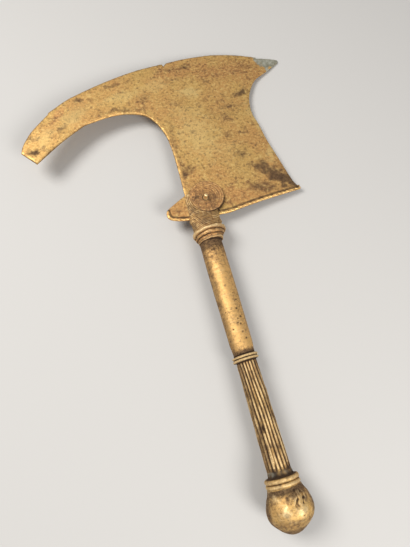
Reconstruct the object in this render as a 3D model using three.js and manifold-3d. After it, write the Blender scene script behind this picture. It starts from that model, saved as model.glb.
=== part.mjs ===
// A cast ceremonial axe: a thin sickle plate held in the forked head of a round handle.
// Millimetres. The axe is drawn straight, with +Y along the handle toward the blade and y = 0 at the
// collar's rim, and is then laid down on the pommel, the collar and the beak of the blade.
import * as THREE from "three";
import { mergeVertices } from "three/addons/utils/BufferGeometryUtils.js";
import Module from "manifold-3d";

const wasm = await Module();
wasm.setup();

// Sizes of the blade
const bladeSpan = 280;
const bladeReach = 35;
const bladeOffset = 7.5;
const plateThickness = 2.2;
const edgeBevel = 0.6;
const stubLength = 21.4;
const stubRootHeight = 26;
const stubNoseHeight = 10.5;
const rimCordRadius = 1.7;

// Sizes of the forked head
const bossReach = 34.8;
const bossOffset = 8.8;
const bossRadius = 16.25;
const bossEdgeHeight = 3.1;
const bossRise = 1.8;
const bossLean = 1.6;
const bossTurns = 5;
const nippleRadius = 2;
const nippleHeight = 6.5;
const eyeShift = 1.9;
const eyeSideShift = 1.2;
const cheekThickness = 2;
const tangDrop = 19.6;
const slotClearance = 0.3;

// Sizes of the neck and the collar
const headShift = 1.4;
const neckRadius = 13.3;
const windingPitch = 3.2;
const windingRelief = 0.45;
const collarRadius = 15.6;
const collarLength = 10.3;
const collarThreads = 4;
const collarTilt = 2;

// Sizes of the handle
const shaftRadius = 10.4;
const shaftWaistRadius = 9.15;
const shaftLength = 106.1;
const middleRingRadius = 11.2;
const middleRingLength = 5.2;
const gripUpperRadius = 8.9;
const gripLowerRadius = 10.1;
const gripLength = 91.5;
const gripFlare = 1.4;
const fluteCount = 18;
const fluteDepth = 1;
const fluteDrift = 22;
const lowerRingRadius = 13.8;
const lowerRingLength = 7.4;
const pommelRadius = 18.5;
const pommelLength = 33.1;
const pommelTipLean = 1.6;
const handleLean = 0.28;
const restFlatDepth = 0.35;

// How finely curves are cut into flat faces
const roundSides = 30;
const sidesPerFlute = 4;
const outlineSteps = 2;
const stepsPerThread = 3;

// Points along the handle, worked out from the lengths above
const collarFoot = -collarLength;
const middleRingTop = collarFoot - shaftLength;
const gripTop = middleRingTop - middleRingLength;
const lowerRingTop = gripTop - gripLength;
const pommelTop = lowerRingTop - lowerRingLength;
const rimHeight = collarLength / collarThreads;
const bladeRoot = new THREE.Vector2(bladeOffset, bladeReach);
const slotHalfWidth = plateThickness / 2 + slotClearance;
const tangFloor = bladeReach - tangDrop;
const slotFloor = tangFloor - slotClearance;
const cheekFace = slotHalfWidth + cheekThickness;

// Turns a closed geometry into a solid that can be joined and cut
function solidOf(geometry) {
  const bare = geometry.clone();
  bare.deleteAttribute("normal");
  bare.deleteAttribute("uv");
  const welded = mergeVertices(bare, 1e-4);
  const corners = welded.index.array;
  const kept = [];
  for (let i = 0; i < corners.length; i += 3) {
    const [a, b, c] = [corners[i], corners[i + 1], corners[i + 2]];
    if (a !== b && b !== c && c !== a) kept.push(a, b, c);
  }
  return new wasm.Manifold(new wasm.Mesh({
    numProp: 3,
    vertProperties: new Float32Array(welded.attributes.position.array),
    triVerts: new Uint32Array(kept),
  }));
}

// Turns a solid back into a geometry with flat faces
function geometryOf(solid) {
  const mesh = solid.getMesh();
  const geometry = new THREE.BufferGeometry();
  geometry.setAttribute("position", new THREE.BufferAttribute(mesh.vertProperties, 3));
  geometry.setIndex(new THREE.BufferAttribute(mesh.triVerts, 1));
  const flat = geometry.toNonIndexed();
  flat.computeVertexNormals();
  return flat;
}

// Joins a list of solids into one
function joined(solids) {
  return solids.reduce((whole, solid) => whole.add(solid));
}

// Moves every vertex of a geometry by a rule
function reshaped(geometry, rule) {
  const place = geometry.attributes.position;
  const point = new THREE.Vector3();
  for (let i = 0; i < place.count; i += 1) {
    point.fromBufferAttribute(place, i);
    rule(point);
    place.setXYZ(i, point.x, point.y, point.z);
  }
  return geometry;
}

// The handle leans a little to the left of the collar, so its parts move over more the lower they are
function leaned(geometry) {
  const slope = Math.tan(THREE.MathUtils.degToRad(handleLean));
  return reshaped(geometry, (point) => {
    point.x -= slope * Math.max(0, collarFoot - point.y);
  });
}

// A body turned about the handle's axis, from pairs of radius and height listed upward
function turned(profile, sides = roundSides) {
  const points = profile.map(([radius, height]) => new THREE.Vector2(radius, height));
  return new THREE.LatheGeometry(points, sides);
}

// Round threads laid side by side, from one height up to another. Each thread lies on a core of its own
// radius, which radiusAt gives for the share of the threads laid so far, and stands out by the relief.
function threadProfile(from, to, radiusAt, threads, relief) {
  const steps = threads * stepsPerThread;
  const crest = Math.sin((Math.PI * Math.floor(stepsPerThread / 2)) / stepsPerThread);
  const points = [];
  for (let i = 0; i <= steps; i += 1) {
    const laid = Math.max(1, Math.ceil(i / stepsPerThread)) / threads;
    const swell = Math.abs(Math.sin((Math.PI * i) / stepsPerThread)) / crest;
    points.push([radiusAt(laid) + relief * swell, THREE.MathUtils.lerp(from, to, i / steps)]);
  }
  return points;
}

// Outline of the blade. Its points are shares of the blade's span, measured from the middle of its root.
// The outer edge runs from the end of the hooked arm to the beak, with a lip where metal ran over the
// mould, a small nick, and a broken step just before the beak.
const outerEdgeToLip = [[-0.562, 0.299], [-0.55, 0.331], [-0.52, 0.375], [-0.492, 0.403], [-0.452, 0.44]];
const outerEdgeToNick = [[-0.45, 0.446], [-0.43, 0.458], [-0.367, 0.494], [-0.243, 0.539], [-0.117, 0.572],
  [-0.009, 0.586]];
const nickBottom = [-0.003, 0.575];
const outerEdgeToStep = [[0.01, 0.588], [0.074, 0.595], [0.139, 0.597], [0.187, 0.595], [0.237, 0.588],
  [0.293, 0.575], [0.357, 0.554]];
const beakUpperEdge = [[0.361, 0.547], [0.387, 0.541], [0.414, 0.534], [0.436, 0.526]];
const beakTip = [0.44, 0.519];
const backEdge = [[0.435, 0.512], [0.384, 0.483], [0.328, 0.453], [0.297, 0.415], [0.274, 0.3675],
  [0.265, 0.305], [0.274, 0.25], [0.282, 0.181], [0.3, 0.09], [0.32, -0.004]];
const heelTop = [0.3385, -0.031];
const heelBottom = [0.3365, -0.037];
const innerEdge = [[-0.0646, 0.05], [-0.0625, 0.12], [-0.0625, 0.21], [-0.0707, 0.279], [-0.096, 0.341],
  [-0.132, 0.375], [-0.186, 0.39], [-0.244, 0.39], [-0.303, 0.379], [-0.332, 0.372], [-0.351, 0.363],
  [-0.426, 0.317], [-0.518, 0.2475]];

// The base edge bows a little between the heel and the head: share of its length, and bow as a share of it
const baseEdgeBow = [[0.75, -0.004], [0.5, -0.005], [0.25, 0.004], [0.12, 0.012]];

function spanPoint([across, along]) {
  return new THREE.Vector2(across * bladeSpan, along * bladeSpan).add(bladeRoot);
}

// Where the tang leaves the head on each side
const baseEdgeRoot = new THREE.Vector2(bladeOffset + neckRadius * 0.75, tangFloor);
const stubRoot = spanPoint([innerEdge[0][0], 0]);
const stubTop = new THREE.Vector2(stubRoot.x, tangFloor + stubRootHeight);
const stubNose = stubRoot.x - stubLength;

// Points along the base edge, from the heel to the head
function baseEdgePoints() {
  const heel = spanPoint(heelBottom);
  const run = new THREE.Vector2().subVectors(heel, baseEdgeRoot);
  const side = new THREE.Vector2(-run.y, run.x);
  const between = baseEdgeBow.map(([share, bow]) => (
    baseEdgeRoot.clone().addScaledVector(run, share).addScaledVector(side, bow)));
  return [heel, ...between, baseEdgeRoot];
}

// Points round the blunt stub on the left of the head, from its lower root to its upper root
function stubPoints() {
  const noseLow = tangFloor + stubRootHeight * 0.17;
  const noseHigh = noseLow + stubNoseHeight;
  return [
    new THREE.Vector2(stubRoot.x - stubLength * 0.2, tangFloor + stubRootHeight * 0.02),
    new THREE.Vector2(stubRoot.x - stubLength * 0.55, tangFloor + stubRootHeight * 0.07),
    new THREE.Vector2(stubRoot.x - stubLength * 0.88, noseLow),
    new THREE.Vector2(stubNose, noseLow + stubNoseHeight * 0.3),
    new THREE.Vector2(stubNose, noseLow + stubNoseHeight * 0.65),
    new THREE.Vector2(stubRoot.x - stubLength * 0.9, noseHigh),
    new THREE.Vector2(stubRoot.x - stubLength * 0.4, tangFloor + stubRootHeight * 0.82),
  ];
}

function bladeOutline() {
  const shape = new THREE.Shape();
  const start = spanPoint(outerEdgeToLip[0]);
  shape.moveTo(start.x, start.y);
  shape.splineThru(outerEdgeToLip.slice(1).map(spanPoint));
  const corner = (point) => shape.lineTo(point.x, point.y);
  corner(spanPoint(outerEdgeToNick[0]));
  shape.splineThru(outerEdgeToNick.slice(1).map(spanPoint));
  corner(spanPoint(nickBottom));
  corner(spanPoint(outerEdgeToStep[0]));
  shape.splineThru(outerEdgeToStep.slice(1).map(spanPoint));
  corner(spanPoint(beakUpperEdge[0]));
  beakUpperEdge.slice(1).forEach((point) => corner(spanPoint(point)));
  corner(spanPoint(beakTip));
  corner(spanPoint(backEdge[0]));
  shape.splineThru(backEdge.slice(1).map(spanPoint));
  corner(spanPoint(heelTop));
  corner(baseEdgePoints()[0]);
  shape.splineThru(baseEdgePoints().slice(1));
  corner(new THREE.Vector2(stubRoot.x, tangFloor));
  shape.splineThru(stubPoints());
  corner(stubTop);
  corner(spanPoint(innerEdge[0]));
  shape.splineThru(innerEdge.slice(1).map(spanPoint));
  shape.closePath();
  return shape;
}

// A raised cord that follows an edge, sunk half into the plate
function rimCord(points) {
  const path = new THREE.CatmullRomCurve3(points.map((point) => new THREE.Vector3(point.x, point.y, 0)));
  const section = new THREE.Shape();
  section.absarc(0, 0, rimCordRadius, 0, Math.PI * 2);
  const steps = Math.ceil(path.getLength() / (rimCordRadius * 4));
  return new THREE.ExtrudeGeometry(section, { steps, curveSegments: 4, extrudePath: path, bevelEnabled: false });
}

// The edge line moved toward the middle of the plate, so that the cord's outer side meets the edge
function movedInward(points, distance) {
  return points.map((point, i) => {
    const before = points[Math.max(i - 1, 0)];
    const after = points[Math.min(i + 1, points.length - 1)];
    const run = new THREE.Vector2().subVectors(after, before).normalize();
    return new THREE.Vector2(point.x + run.y * distance, point.y - run.x * distance);
  });
}

function bladeSolid() {
  const plate = new THREE.ExtrudeGeometry(bladeOutline(), {
    depth: plateThickness - edgeBevel,
    curveSegments: outlineSteps,
    bevelSize: edgeBevel,
    bevelThickness: edgeBevel / 2,
    bevelOffset: -edgeBevel,
    bevelSegments: 1,
  });
  plate.translate(0, 0, (edgeBevel - plateThickness) / 2);
  const inset = rimCordRadius * 0.8;
  const baseCord = rimCord(movedInward(baseEdgePoints(), inset));
  const stubEdge = [new THREE.Vector2(stubRoot.x, tangFloor), ...stubPoints().slice(0, 4)];
  const stubCord = rimCord(movedInward(stubEdge, inset));
  const cords = solidOf(baseCord).add(solidOf(stubCord)).subtract(headEnvelope(slotClearance));
  return solidOf(plate).add(cords);
}

// Cross-sections of the forked head: height above the collar's rim, left and right edges, half depth
function headSections() {
  const left = neckRadius - headShift;
  const right = neckRadius + headShift;
  const neckDepth = neckRadius * 0.9;
  const underBoss = THREE.MathUtils.lerp(slotFloor, bossReach, 0.17);
  const besideBoss = THREE.MathUtils.lerp(slotFloor, bossReach, 0.42);
  return [
    { height: -rimHeight / 2, left, right, depth: neckDepth },
    { height: slotFloor * 0.35, left, right, depth: neckDepth * 0.9 },
    { height: slotFloor * 0.7, left, right, depth: neckDepth * 0.69 },
    { height: slotFloor, left: left * 1.05, right: right * 1.04, depth: cheekFace * 1.7 },
    { height: underBoss, left: left * 1.06, right: right * 1.07, depth: cheekFace * 1.25 },
    { height: besideBoss, left: left * 1.08, right: right * 1.15, depth: cheekFace * 1.15 },
    { height: bossReach, left: left * 1.08, right: right * 1.2, depth: cheekFace },
    { height: bossReach + bossRadius * 0.35, left: left * 0.9, right: right * 1.15, depth: cheekFace },
    { height: bossReach + bossRadius * 0.8, left: left * 0.25, right, depth: cheekFace },
  ];
}

// A value of the head's cross-section at any height, straight between the sections above
function headSectionAt(height) {
  const sections = headSections();
  const upper = sections.findIndex((section) => section.height >= height);
  if (upper === 0) return sections[0];
  if (upper < 0) return sections[sections.length - 1];
  const low = sections[upper - 1];
  const high = sections[upper];
  const share = (height - low.height) / (high.height - low.height);
  const between = (name) => THREE.MathUtils.lerp(low[name], high[name], share);
  return { left: between("left"), right: between("right"), depth: between("depth") };
}

// How far the slanting thread windings stand out on the neck, by height and angle round the axis
function windingAt(height, angle) {
  const fade = THREE.MathUtils.clamp((slotFloor + windingPitch - height) / windingPitch, 0, 1);
  const slant = (height + windingPitch * 0.8 * Math.cos(angle)) / windingPitch;
  return windingRelief * fade * Math.abs(Math.sin(Math.PI * slant));
}

// The neck and the two cheeks as one oval body that flattens from a round neck to the fork
function neckBody(growth, windings) {
  const sections = headSections();
  const foot = sections[0].height;
  const top = sections[sections.length - 1].height + growth;
  const stepLength = windingPitch / stepsPerThread;
  const neckSteps = Math.round((slotFloor - foot) / stepLength);
  const cheekSteps = 4;
  const body = new THREE.CylinderGeometry(1, 1, 1, roundSides, neckSteps + cheekSteps);
  return reshaped(body, (point) => {
    const step = (point.y + 0.5) * (neckSteps + cheekSteps);
    const height = step <= neckSteps
      ? THREE.MathUtils.mapLinear(step, 0, neckSteps, foot, slotFloor)
      : THREE.MathUtils.mapLinear(step, neckSteps, neckSteps + cheekSteps, slotFloor, top);
    const section = headSectionAt(height);
    const rise = growth + (windings ? windingAt(height, Math.atan2(point.z, point.x)) : 0);
    const middle = (section.right - section.left) / 2;
    const halfWidth = (section.right + section.left) / 2 + rise;
    point.set(middle + point.x * halfWidth, height, point.z * (section.depth + rise));
  });
}

// The round boss on one cheek: a low cone of coiled thread, with a groove round it and a nipple
function bossProfile(turns) {
  const edge = slotHalfWidth + bossEdgeHeight;
  const peak = edge + bossRise;
  const inner = nippleRadius * 1.5;
  const coil = threadProfile(0, 1, () => 0, turns, 1).map(([relief, share]) => {
    const radius = THREE.MathUtils.lerp(bossRadius, inner, share);
    const level = THREE.MathUtils.lerp(edge, peak, share);
    return [radius, level + relief * 0.5];
  });
  return [
    [0, 0],
    [bossRadius, 0],
    ...coil,
    [nippleRadius, peak + nippleHeight * 0.3],
    [nippleRadius * 0.8, peak + nippleHeight * 0.8],
    [nippleRadius * 0.6, peak + nippleHeight],
    [0, peak + nippleHeight],
  ];
}

// The coil is laid by hand, so its eye sits a little nearer to the neck than the middle of the disc, and
// the disc stands a little higher on the neck's side
function boss(side, turns) {
  const geometry = turned(bossProfile(turns));
  geometry.rotateX(side * Math.PI / 2);
  const slope = Math.tan(THREE.MathUtils.degToRad(bossLean)) / (slotHalfWidth + bossEdgeHeight);
  reshaped(geometry, (point) => {
    const inward = Math.max(0, 1 - Math.hypot(point.x, point.y) / bossRadius);
    point.z *= 1 - slope * point.y;
    point.x += bossOffset - eyeSideShift * inward;
    point.y += bossReach - eyeShift * inward;
  });
  return geometry;
}

// The head's outer form without its slot, grown by a clearance, for what has to end beside it
function headEnvelope(growth) {
  const discs = new THREE.CylinderGeometry(bossRadius + growth, bossRadius + growth, bossRadius * 2, roundSides);
  discs.rotateX(Math.PI / 2);
  discs.translate(bossOffset, bossReach, 0);
  return solidOf(neckBody(growth + windingRelief, false)).add(solidOf(discs));
}

function headSolid() {
  const plainerTurns = Math.ceil(bossTurns / 2);
  const body = joined([
    solidOf(neckBody(0, true)),
    solidOf(boss(1, bossTurns)),
    solidOf(boss(-1, plainerTurns)),
  ]);
  const reach = bossReach + bossRadius * 2;
  const slot = new THREE.BoxGeometry(reach * 2, reach, slotHalfWidth * 2);
  slot.translate(0, slotFloor + reach / 2, 0);
  return body.subtract(solidOf(slot));
}

// The flared collar of stacked threads, a little askew on the handle
function collarSolid() {
  const relief = windingRelief * 2;
  const radiusAt = (laid) => THREE.MathUtils.lerp(shaftRadius, collarRadius - relief, laid ** 1.3);
  const profile = [
    [0, collarFoot],
    ...threadProfile(collarFoot, rimHeight / 2, radiusAt, collarThreads, relief),
    [neckRadius * 0.8, rimHeight],
    [0, rimHeight],
  ];
  const collar = turned(profile);
  collar.rotateZ(THREE.MathUtils.degToRad(collarTilt));
  collar.translate(headShift, 0, 0);
  return solidOf(collar);
}

function shaftSolid() {
  return solidOf(leaned(turned([
    [0, middleRingTop - middleRingLength / 2],
    [shaftWaistRadius, middleRingTop - middleRingLength / 2],
    [shaftWaistRadius, middleRingTop + shaftLength * 0.03],
    [shaftRadius * 0.95, middleRingTop + shaftLength * 0.1],
    [shaftRadius * 0.97, middleRingTop + shaftLength * 0.3],
    [shaftRadius, middleRingTop + shaftLength * 0.6],
    [shaftRadius * 0.98, collarFoot + collarLength * 0.3],
    [0, collarFoot + collarLength * 0.3],
  ])));
}

// The ring of two threads between the shaft and the grip
function middleRingSolid() {
  const relief = middleRingRadius - gripUpperRadius;
  const threads = threadProfile(gripTop, middleRingTop, () => gripUpperRadius, 2, relief);
  return solidOf(leaned(turned([[0, gripTop], ...threads, [0, middleRingTop]])));
}

// The grip: a tapering round bar with laid-on ridges, which wander a little as threads laid by hand do
function gripSolid() {
  const overlap = middleRingLength / 4;
  const from = lowerRingTop - overlap;
  const to = gripTop + overlap;
  const rows = 9;
  const sides = fluteCount * sidesPerFlute;
  const profile = [[0, from]];
  for (let i = 0; i <= rows; i += 1) {
    const share = i / rows;
    const flare = gripFlare * Math.max(0, 1 - share * rows) ** 2;
    const radius = THREE.MathUtils.lerp(gripLowerRadius, gripUpperRadius, share);
    profile.push([radius + flare, THREE.MathUtils.lerp(from, to, share)]);
  }
  profile.push([0, to]);
  const drift = THREE.MathUtils.degToRad(fluteDrift);
  const grip = reshaped(turned(profile, sides), (point) => {
    const radius = Math.hypot(point.x, point.z);
    if (radius === 0) return;
    const angle = Math.atan2(point.z, point.x);
    const share = (point.y - from) / (to - from);
    const ridge = Math.abs(Math.sin(angle * fluteCount / 2));
    const wander = 0.05 * Math.sin(share * 5 + Math.sin(angle) * 2) + 0.03 * Math.sin(share * 11 + angle * 3);
    const shrunk = radius - fluteDepth * (1 - ridge);
    const turnedBy = angle + wander + drift * (share - 0.5);
    point.x = shrunk * Math.cos(turnedBy);
    point.z = shrunk * Math.sin(turnedBy);
  });
  return solidOf(leaned(grip));
}

// Two rings between the grip and the pommel, with a groove between them
function lowerRingsSolid() {
  const core = lowerRingRadius * 0.84;
  const threads = threadProfile(pommelTop, lowerRingTop, () => core, 2, lowerRingRadius - core);
  return solidOf(leaned(turned([[0, pommelTop], ...threads, [0, lowerRingTop]])));
}

// The pommel's side line: shares of its length from the top, and shares of its radius
const pommelCurve = [[0, 0.72], [0.09, 0.785], [0.2, 0.89], [0.32, 0.957], [0.44, 1], [0.56, 0.99], [0.67, 0.91],
  [0.77, 0.765], [0.86, 0.59], [0.93, 0.4], [0.98, 0.195], [1, 0]];

// The acorn pommel, whose tip leans to one side
function pommelSolid() {
  const curve = pommelCurve.map(([down, out]) => [out * pommelRadius, pommelTop - down * pommelLength]);
  const neck = [[pommelRadius * pommelCurve[0][1], pommelTop], [0, pommelTop + lowerRingLength / 4]];
  const acorn = reshaped(turned([...curve.reverse(), ...neck]), (point) => {
    const share = Math.max(0, (pommelTop - point.y) / pommelLength);
    point.x -= pommelTipLean * share ** 3;
  });
  return solidOf(leaned(acorn));
}

// The plane that the axe lies on, in the straight axe's own frame: its upward normal and its offset.
// The pommel, the collar and the beak touch it, each cut back to a small flat.
function floorPlane() {
  const [widestShare] = pommelCurve.find(([, out]) => out === 1);
  const pommelMiddle = pommelTop - pommelLength * widestShare;
  const rise = (collarRadius - pommelRadius) / -pommelMiddle;
  const offset = collarRadius - restFlatDepth;
  const beak = spanPoint(beakTip);
  const underBeak = offset + rise * beak.y - plateThickness / 2 + restFlatDepth;
  const lean = -underBeak / beak.x;
  const normal = new THREE.Vector3(lean, rise, 1);
  const length = normal.length();
  return { normal: normal.divideScalar(length), offset: offset / length };
}

const floor = floorPlane();

// Cuts away what reaches below the floor
function cutFlat(solid) {
  const size = bladeSpan * 4;
  const slab = new THREE.BoxGeometry(size, size, size);
  slab.translate(0, 0, -size / 2);
  const turn = new THREE.Quaternion().setFromUnitVectors(new THREE.Vector3(0, 0, 1), floor.normal);
  slab.applyQuaternion(turn);
  const drop = floor.normal.clone().multiplyScalar(-floor.offset);
  slab.translate(drop.x, drop.y, drop.z);
  return solid.subtract(solidOf(slab));
}

function handleSolid() {
  return joined([
    headSolid(),
    collarSolid(),
    shaftSolid(),
    middleRingSolid(),
    gripSolid(),
    lowerRingsSolid(),
    pommelSolid(),
  ]);
}

// Materials: golden copper alloy, browner on the blade's old skin and brighter on the rubbed handle
const bladeMetal = new THREE.MeshStandardMaterial({ color: 0xa9854a, roughness: 0.5, metalness: 0.9 });
const handleMetal = new THREE.MeshStandardMaterial({ color: 0x9c7a43, roughness: 0.42, metalness: 0.95 });

const blade = new THREE.Mesh(geometryOf(cutFlat(bladeSolid())), bladeMetal);
blade.name = "blade";
const handle = new THREE.Mesh(geometryOf(cutFlat(handleSolid())), handleMetal);
handle.name = "handle";

// The straight axe is turned so that the floor's normal points up and the handle runs along +Y
const axe = new THREE.Group();
axe.add(blade, handle);
const ahead = new THREE.Vector3(0, 1, 0).projectOnPlane(floor.normal).normalize();
const across = new THREE.Vector3().crossVectors(ahead, floor.normal);
axe.quaternion.setFromRotationMatrix(new THREE.Matrix4().makeBasis(across, ahead, floor.normal)).invert();

// The origin is in the middle of the axe's footprint, on the floor
const laidAxe = new THREE.Group();
laidAxe.add(axe);
laidAxe.updateMatrixWorld(true);
const bounds = new THREE.Box3().setFromObject(laidAxe, true);
const middle = bounds.getCenter(new THREE.Vector3());
axe.position.set(-middle.x, -middle.y, floor.offset);

export default laidAxe;
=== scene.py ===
# %% [markdown]
# # An old cast axe with a sickle blade
# This lesson dresses the plain model of an old axe of copper alloy. Such an axe was cast by the lost-wax
# way: the founder shaped it in wax, laid wax threads on it for its cords, rings and ridges, packed it in
# clay, melted the wax out and poured the metal in. Nearly all that shows on it comes from that work:
# round threads side by side, ridges that wander a little, small holes where gas or sand was caught in the
# metal.
#
# The plain model is loaded first. Its two parts, `blade` and `handle`, give every place and size.

# %% Load the frame
import math
import bmesh
import bpy
from mathutils import Euler, Matrix, Vector, noise
from mathutils.geometry import interpolate_bezier
from mathutils.kdtree import KDTree


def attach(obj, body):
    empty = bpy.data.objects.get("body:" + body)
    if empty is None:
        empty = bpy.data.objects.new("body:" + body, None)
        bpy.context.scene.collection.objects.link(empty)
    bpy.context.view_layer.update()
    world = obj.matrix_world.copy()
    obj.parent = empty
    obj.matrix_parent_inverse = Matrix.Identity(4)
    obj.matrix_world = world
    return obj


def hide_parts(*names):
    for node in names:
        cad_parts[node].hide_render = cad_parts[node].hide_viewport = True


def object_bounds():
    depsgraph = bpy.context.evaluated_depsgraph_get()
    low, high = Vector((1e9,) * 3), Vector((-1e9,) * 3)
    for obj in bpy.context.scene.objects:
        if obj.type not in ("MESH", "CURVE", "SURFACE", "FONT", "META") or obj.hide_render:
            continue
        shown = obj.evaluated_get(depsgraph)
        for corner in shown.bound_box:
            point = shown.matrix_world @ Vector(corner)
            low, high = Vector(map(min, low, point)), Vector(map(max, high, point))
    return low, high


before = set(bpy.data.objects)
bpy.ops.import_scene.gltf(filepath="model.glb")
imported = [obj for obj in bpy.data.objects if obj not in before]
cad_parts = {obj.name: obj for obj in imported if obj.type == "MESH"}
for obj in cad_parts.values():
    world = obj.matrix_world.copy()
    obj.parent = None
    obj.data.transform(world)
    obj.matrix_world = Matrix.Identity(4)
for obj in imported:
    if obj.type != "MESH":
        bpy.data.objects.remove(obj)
frame_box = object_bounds()
print("The plain model's box in metres:", frame_box)

# %% [markdown]
# ## Sizes
# All sizes are in millimetres and belong to the straight axe: +Y runs along the handle toward the
# blade, y = 0 is at the collar's rim, X points to the right and Z up. They are the sizes of the plain
# model. The ones that place the axe come first, and the others stand with the piece that they belong
# to.

# %% Sizes that place the axe
BLADE_SPAN = 280
BLADE_REACH = 35
BLADE_OFFSET = 7.5
PLATE_THICKNESS = 2.2
COLLAR_RADIUS = 15.6
POMMEL_TOP = -220.5
POMMEL_RADIUS = 18.5
POMMEL_LENGTH = 33.1
FLAT_DEPTH = 0.35
print("From the collar's rim to the tip of the pommel:", POMMEL_LENGTH - POMMEL_TOP, "mm")

# %% [markdown]
# ## How the axe lies
# A loose axe lies on three points: the pommel, the collar and the beak of its blade. The plane through
# those points is the floor, so the whole axe is leaned by a few degrees. One matrix does that and turns
# millimetres into metres. Each mesh is made straight, and is laid down with this matrix when it is
# finished.

# %% Lay the axe down
FOOTPRINT_MIDDLE = Vector((-9.538, -25.744))
BEAK_TIP = Vector((0.44, 0.519)) * BLADE_SPAN + Vector((BLADE_OFFSET, BLADE_REACH))

pommel_middle = POMMEL_TOP - POMMEL_LENGTH * 0.44
rise = (COLLAR_RADIUS - POMMEL_RADIUS) / -pommel_middle
drop = COLLAR_RADIUS - FLAT_DEPTH
under_beak = drop + rise * BEAK_TIP.y - PLATE_THICKNESS / 2 + FLAT_DEPTH
up = Vector((-under_beak / BEAK_TIP.x, rise, 1))
floor_distance = drop / up.length
up.normalize()
ahead = (Vector((0, 1, 0)) - up * up.y).normalized()
across = ahead.cross(up)
turn = Matrix((across, ahead, up)).to_4x4()
shift = Matrix.Translation((-FOOTPRINT_MIDDLE.x, -FOOTPRINT_MIDDLE.y, floor_distance))
LAID_DOWN = Matrix.Scale(0.001, 4) @ shift @ turn
print("Lean to the right, in degrees:", round(math.degrees(math.asin(-up.x)), 2))

# %% [markdown]
# ## Small helpers
# A few short functions serve all the pieces: a smooth line through points, a body spun from its side
# line, and a measure of how deep each point lies under its surroundings. Dirt and brown patina gather in
# hollows while hands rub the crests bright, so the materials need that measure.

# %% Helpers for lines and bodies
SAME_PLACE = 1e-4


def smooth_line(points, spacing):
    """Points about spacing apart on a smooth line through all the given points."""
    line = []
    for i in range(len(points) - 1):
        start, end = points[i], points[i + 1]
        before, after = points[max(i - 1, 0)], points[min(i + 2, len(points) - 1)]
        steps = max(1, round((end - start).length / spacing))
        leaving, arriving = start + (end - before) / 6, end - (after - start) / 6
        line += interpolate_bezier(start, leaving, arriving, end, steps + 1)[:-1]
    return line + [points[-1]]


def spaced(start, end, spacing):
    """Evenly spaced numbers from start up to, but without, end."""
    steps = max(1, round(abs(end - start) / spacing))
    return [start + (end - start) * i / steps for i in range(steps)]


def blend(low, high, share):
    """The number that lies at a share of the way from low to high."""
    return low + (high - low) * min(max(share, 0), 1)


def ease(value, start, end):
    """0 below start, 1 above end, and a soft step between them."""
    share = min(max((value - start) / (end - start), 0), 1)
    return share * share * (3 - 2 * share)


def grain(point, size):
    """A smooth random number from about -1 to 1, with bumps of that size. It is the same on every run."""
    return noise.noise(Vector(point) / size)


def thread(share):
    """The round side of a thread: 0 at its two edges and 1 on its crest."""
    return math.sqrt(max(0, 1 - (2 * (share % 1) - 1) ** 2))


def spun(side_line, sides):
    """A closed body, made by spinning a side line that starts and ends on the Y axis."""
    bm = bmesh.new()
    corners = [bm.verts.new(point) for point in side_line]
    edges = [bm.edges.new(pair) for pair in zip(corners, corners[1:])]
    turning = {"cent": (0, 0, 0), "axis": (0, 1, 0), "angle": math.tau}
    bmesh.ops.spin(bm, geom=corners + edges, steps=sides, use_merge=True, **turning)
    bmesh.ops.remove_doubles(bm, verts=bm.verts, dist=SAME_PLACE)
    bmesh.ops.recalc_face_normals(bm, faces=bm.faces)
    return bm


# %% [markdown]
# The depth of a point is measured against a copy of the mesh that has been smoothed a few times. Where
# the copy lies outside the point, the point is in a hollow. A finished piece is laid down on the floor,
# and the few points whose relief stands out past the plain model are pressed back to its box.

# %% Helpers for finished meshes
def record_hollows(bm, full_depth, passes=8):
    """Writes for each point how far it lies under its surroundings, from -1 on a crest to 1 in a hollow."""
    level = bm.verts.layers.float.get("hollow") or bm.verts.layers.float.new("hollow")
    bm.normal_update()
    calm = bm.copy()
    every_way = {"use_axis_x": True, "use_axis_y": True, "use_axis_z": True}
    for _ in range(passes):
        bmesh.ops.smooth_vert(calm, verts=calm.verts, factor=0.5, **every_way)
    for vert, calm_vert in zip(bm.verts, calm.verts):
        depth = (calm_vert.co - vert.co).dot(vert.normal) / full_depth
        vert[level] = min(max(depth, -1), 1)
    calm.free()


def piece_from(bodies, name, node):
    """Joins bodies into one mesh, lays it down and lets it stand for a part of the plain model."""
    bm = bmesh.new()
    for body in bodies:
        part = bpy.data.meshes.new("part")
        body.to_mesh(part)
        bm.from_mesh(part)
        bpy.data.meshes.remove(part)
        body.free()
    bm.transform(LAID_DOWN)
    for vert in bm.verts:
        vert.co = [min(max(value, low), high) for value, low, high in zip(vert.co, *frame_box)]
    for face in bm.faces:
        face.smooth = True
    mesh = bpy.data.meshes.new(name)
    bm.to_mesh(mesh)
    triangles = sum(len(face.verts) - 2 for face in bm.faces)
    bm.free()
    piece = bpy.data.objects.new(name, mesh)
    bpy.context.scene.collection.objects.link(piece)
    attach(piece, "root")
    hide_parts(node)
    print(name, "has", triangles, "triangles")
    return piece


# %% [markdown]
# ## The outline of the blade
# The blade is a thin cast plate. Its outer edge is one long bow from the end of the hooked arm to the
# beak; the back is hollow, the heel is sharp, and a short stub of the plate comes out on the left of the
# head. The points are shares of the blade's span, counted from the middle of its root. A little lip near
# the hook is metal that ran out between the two halves of the mould, and the step before the beak is an
# old break.

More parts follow.
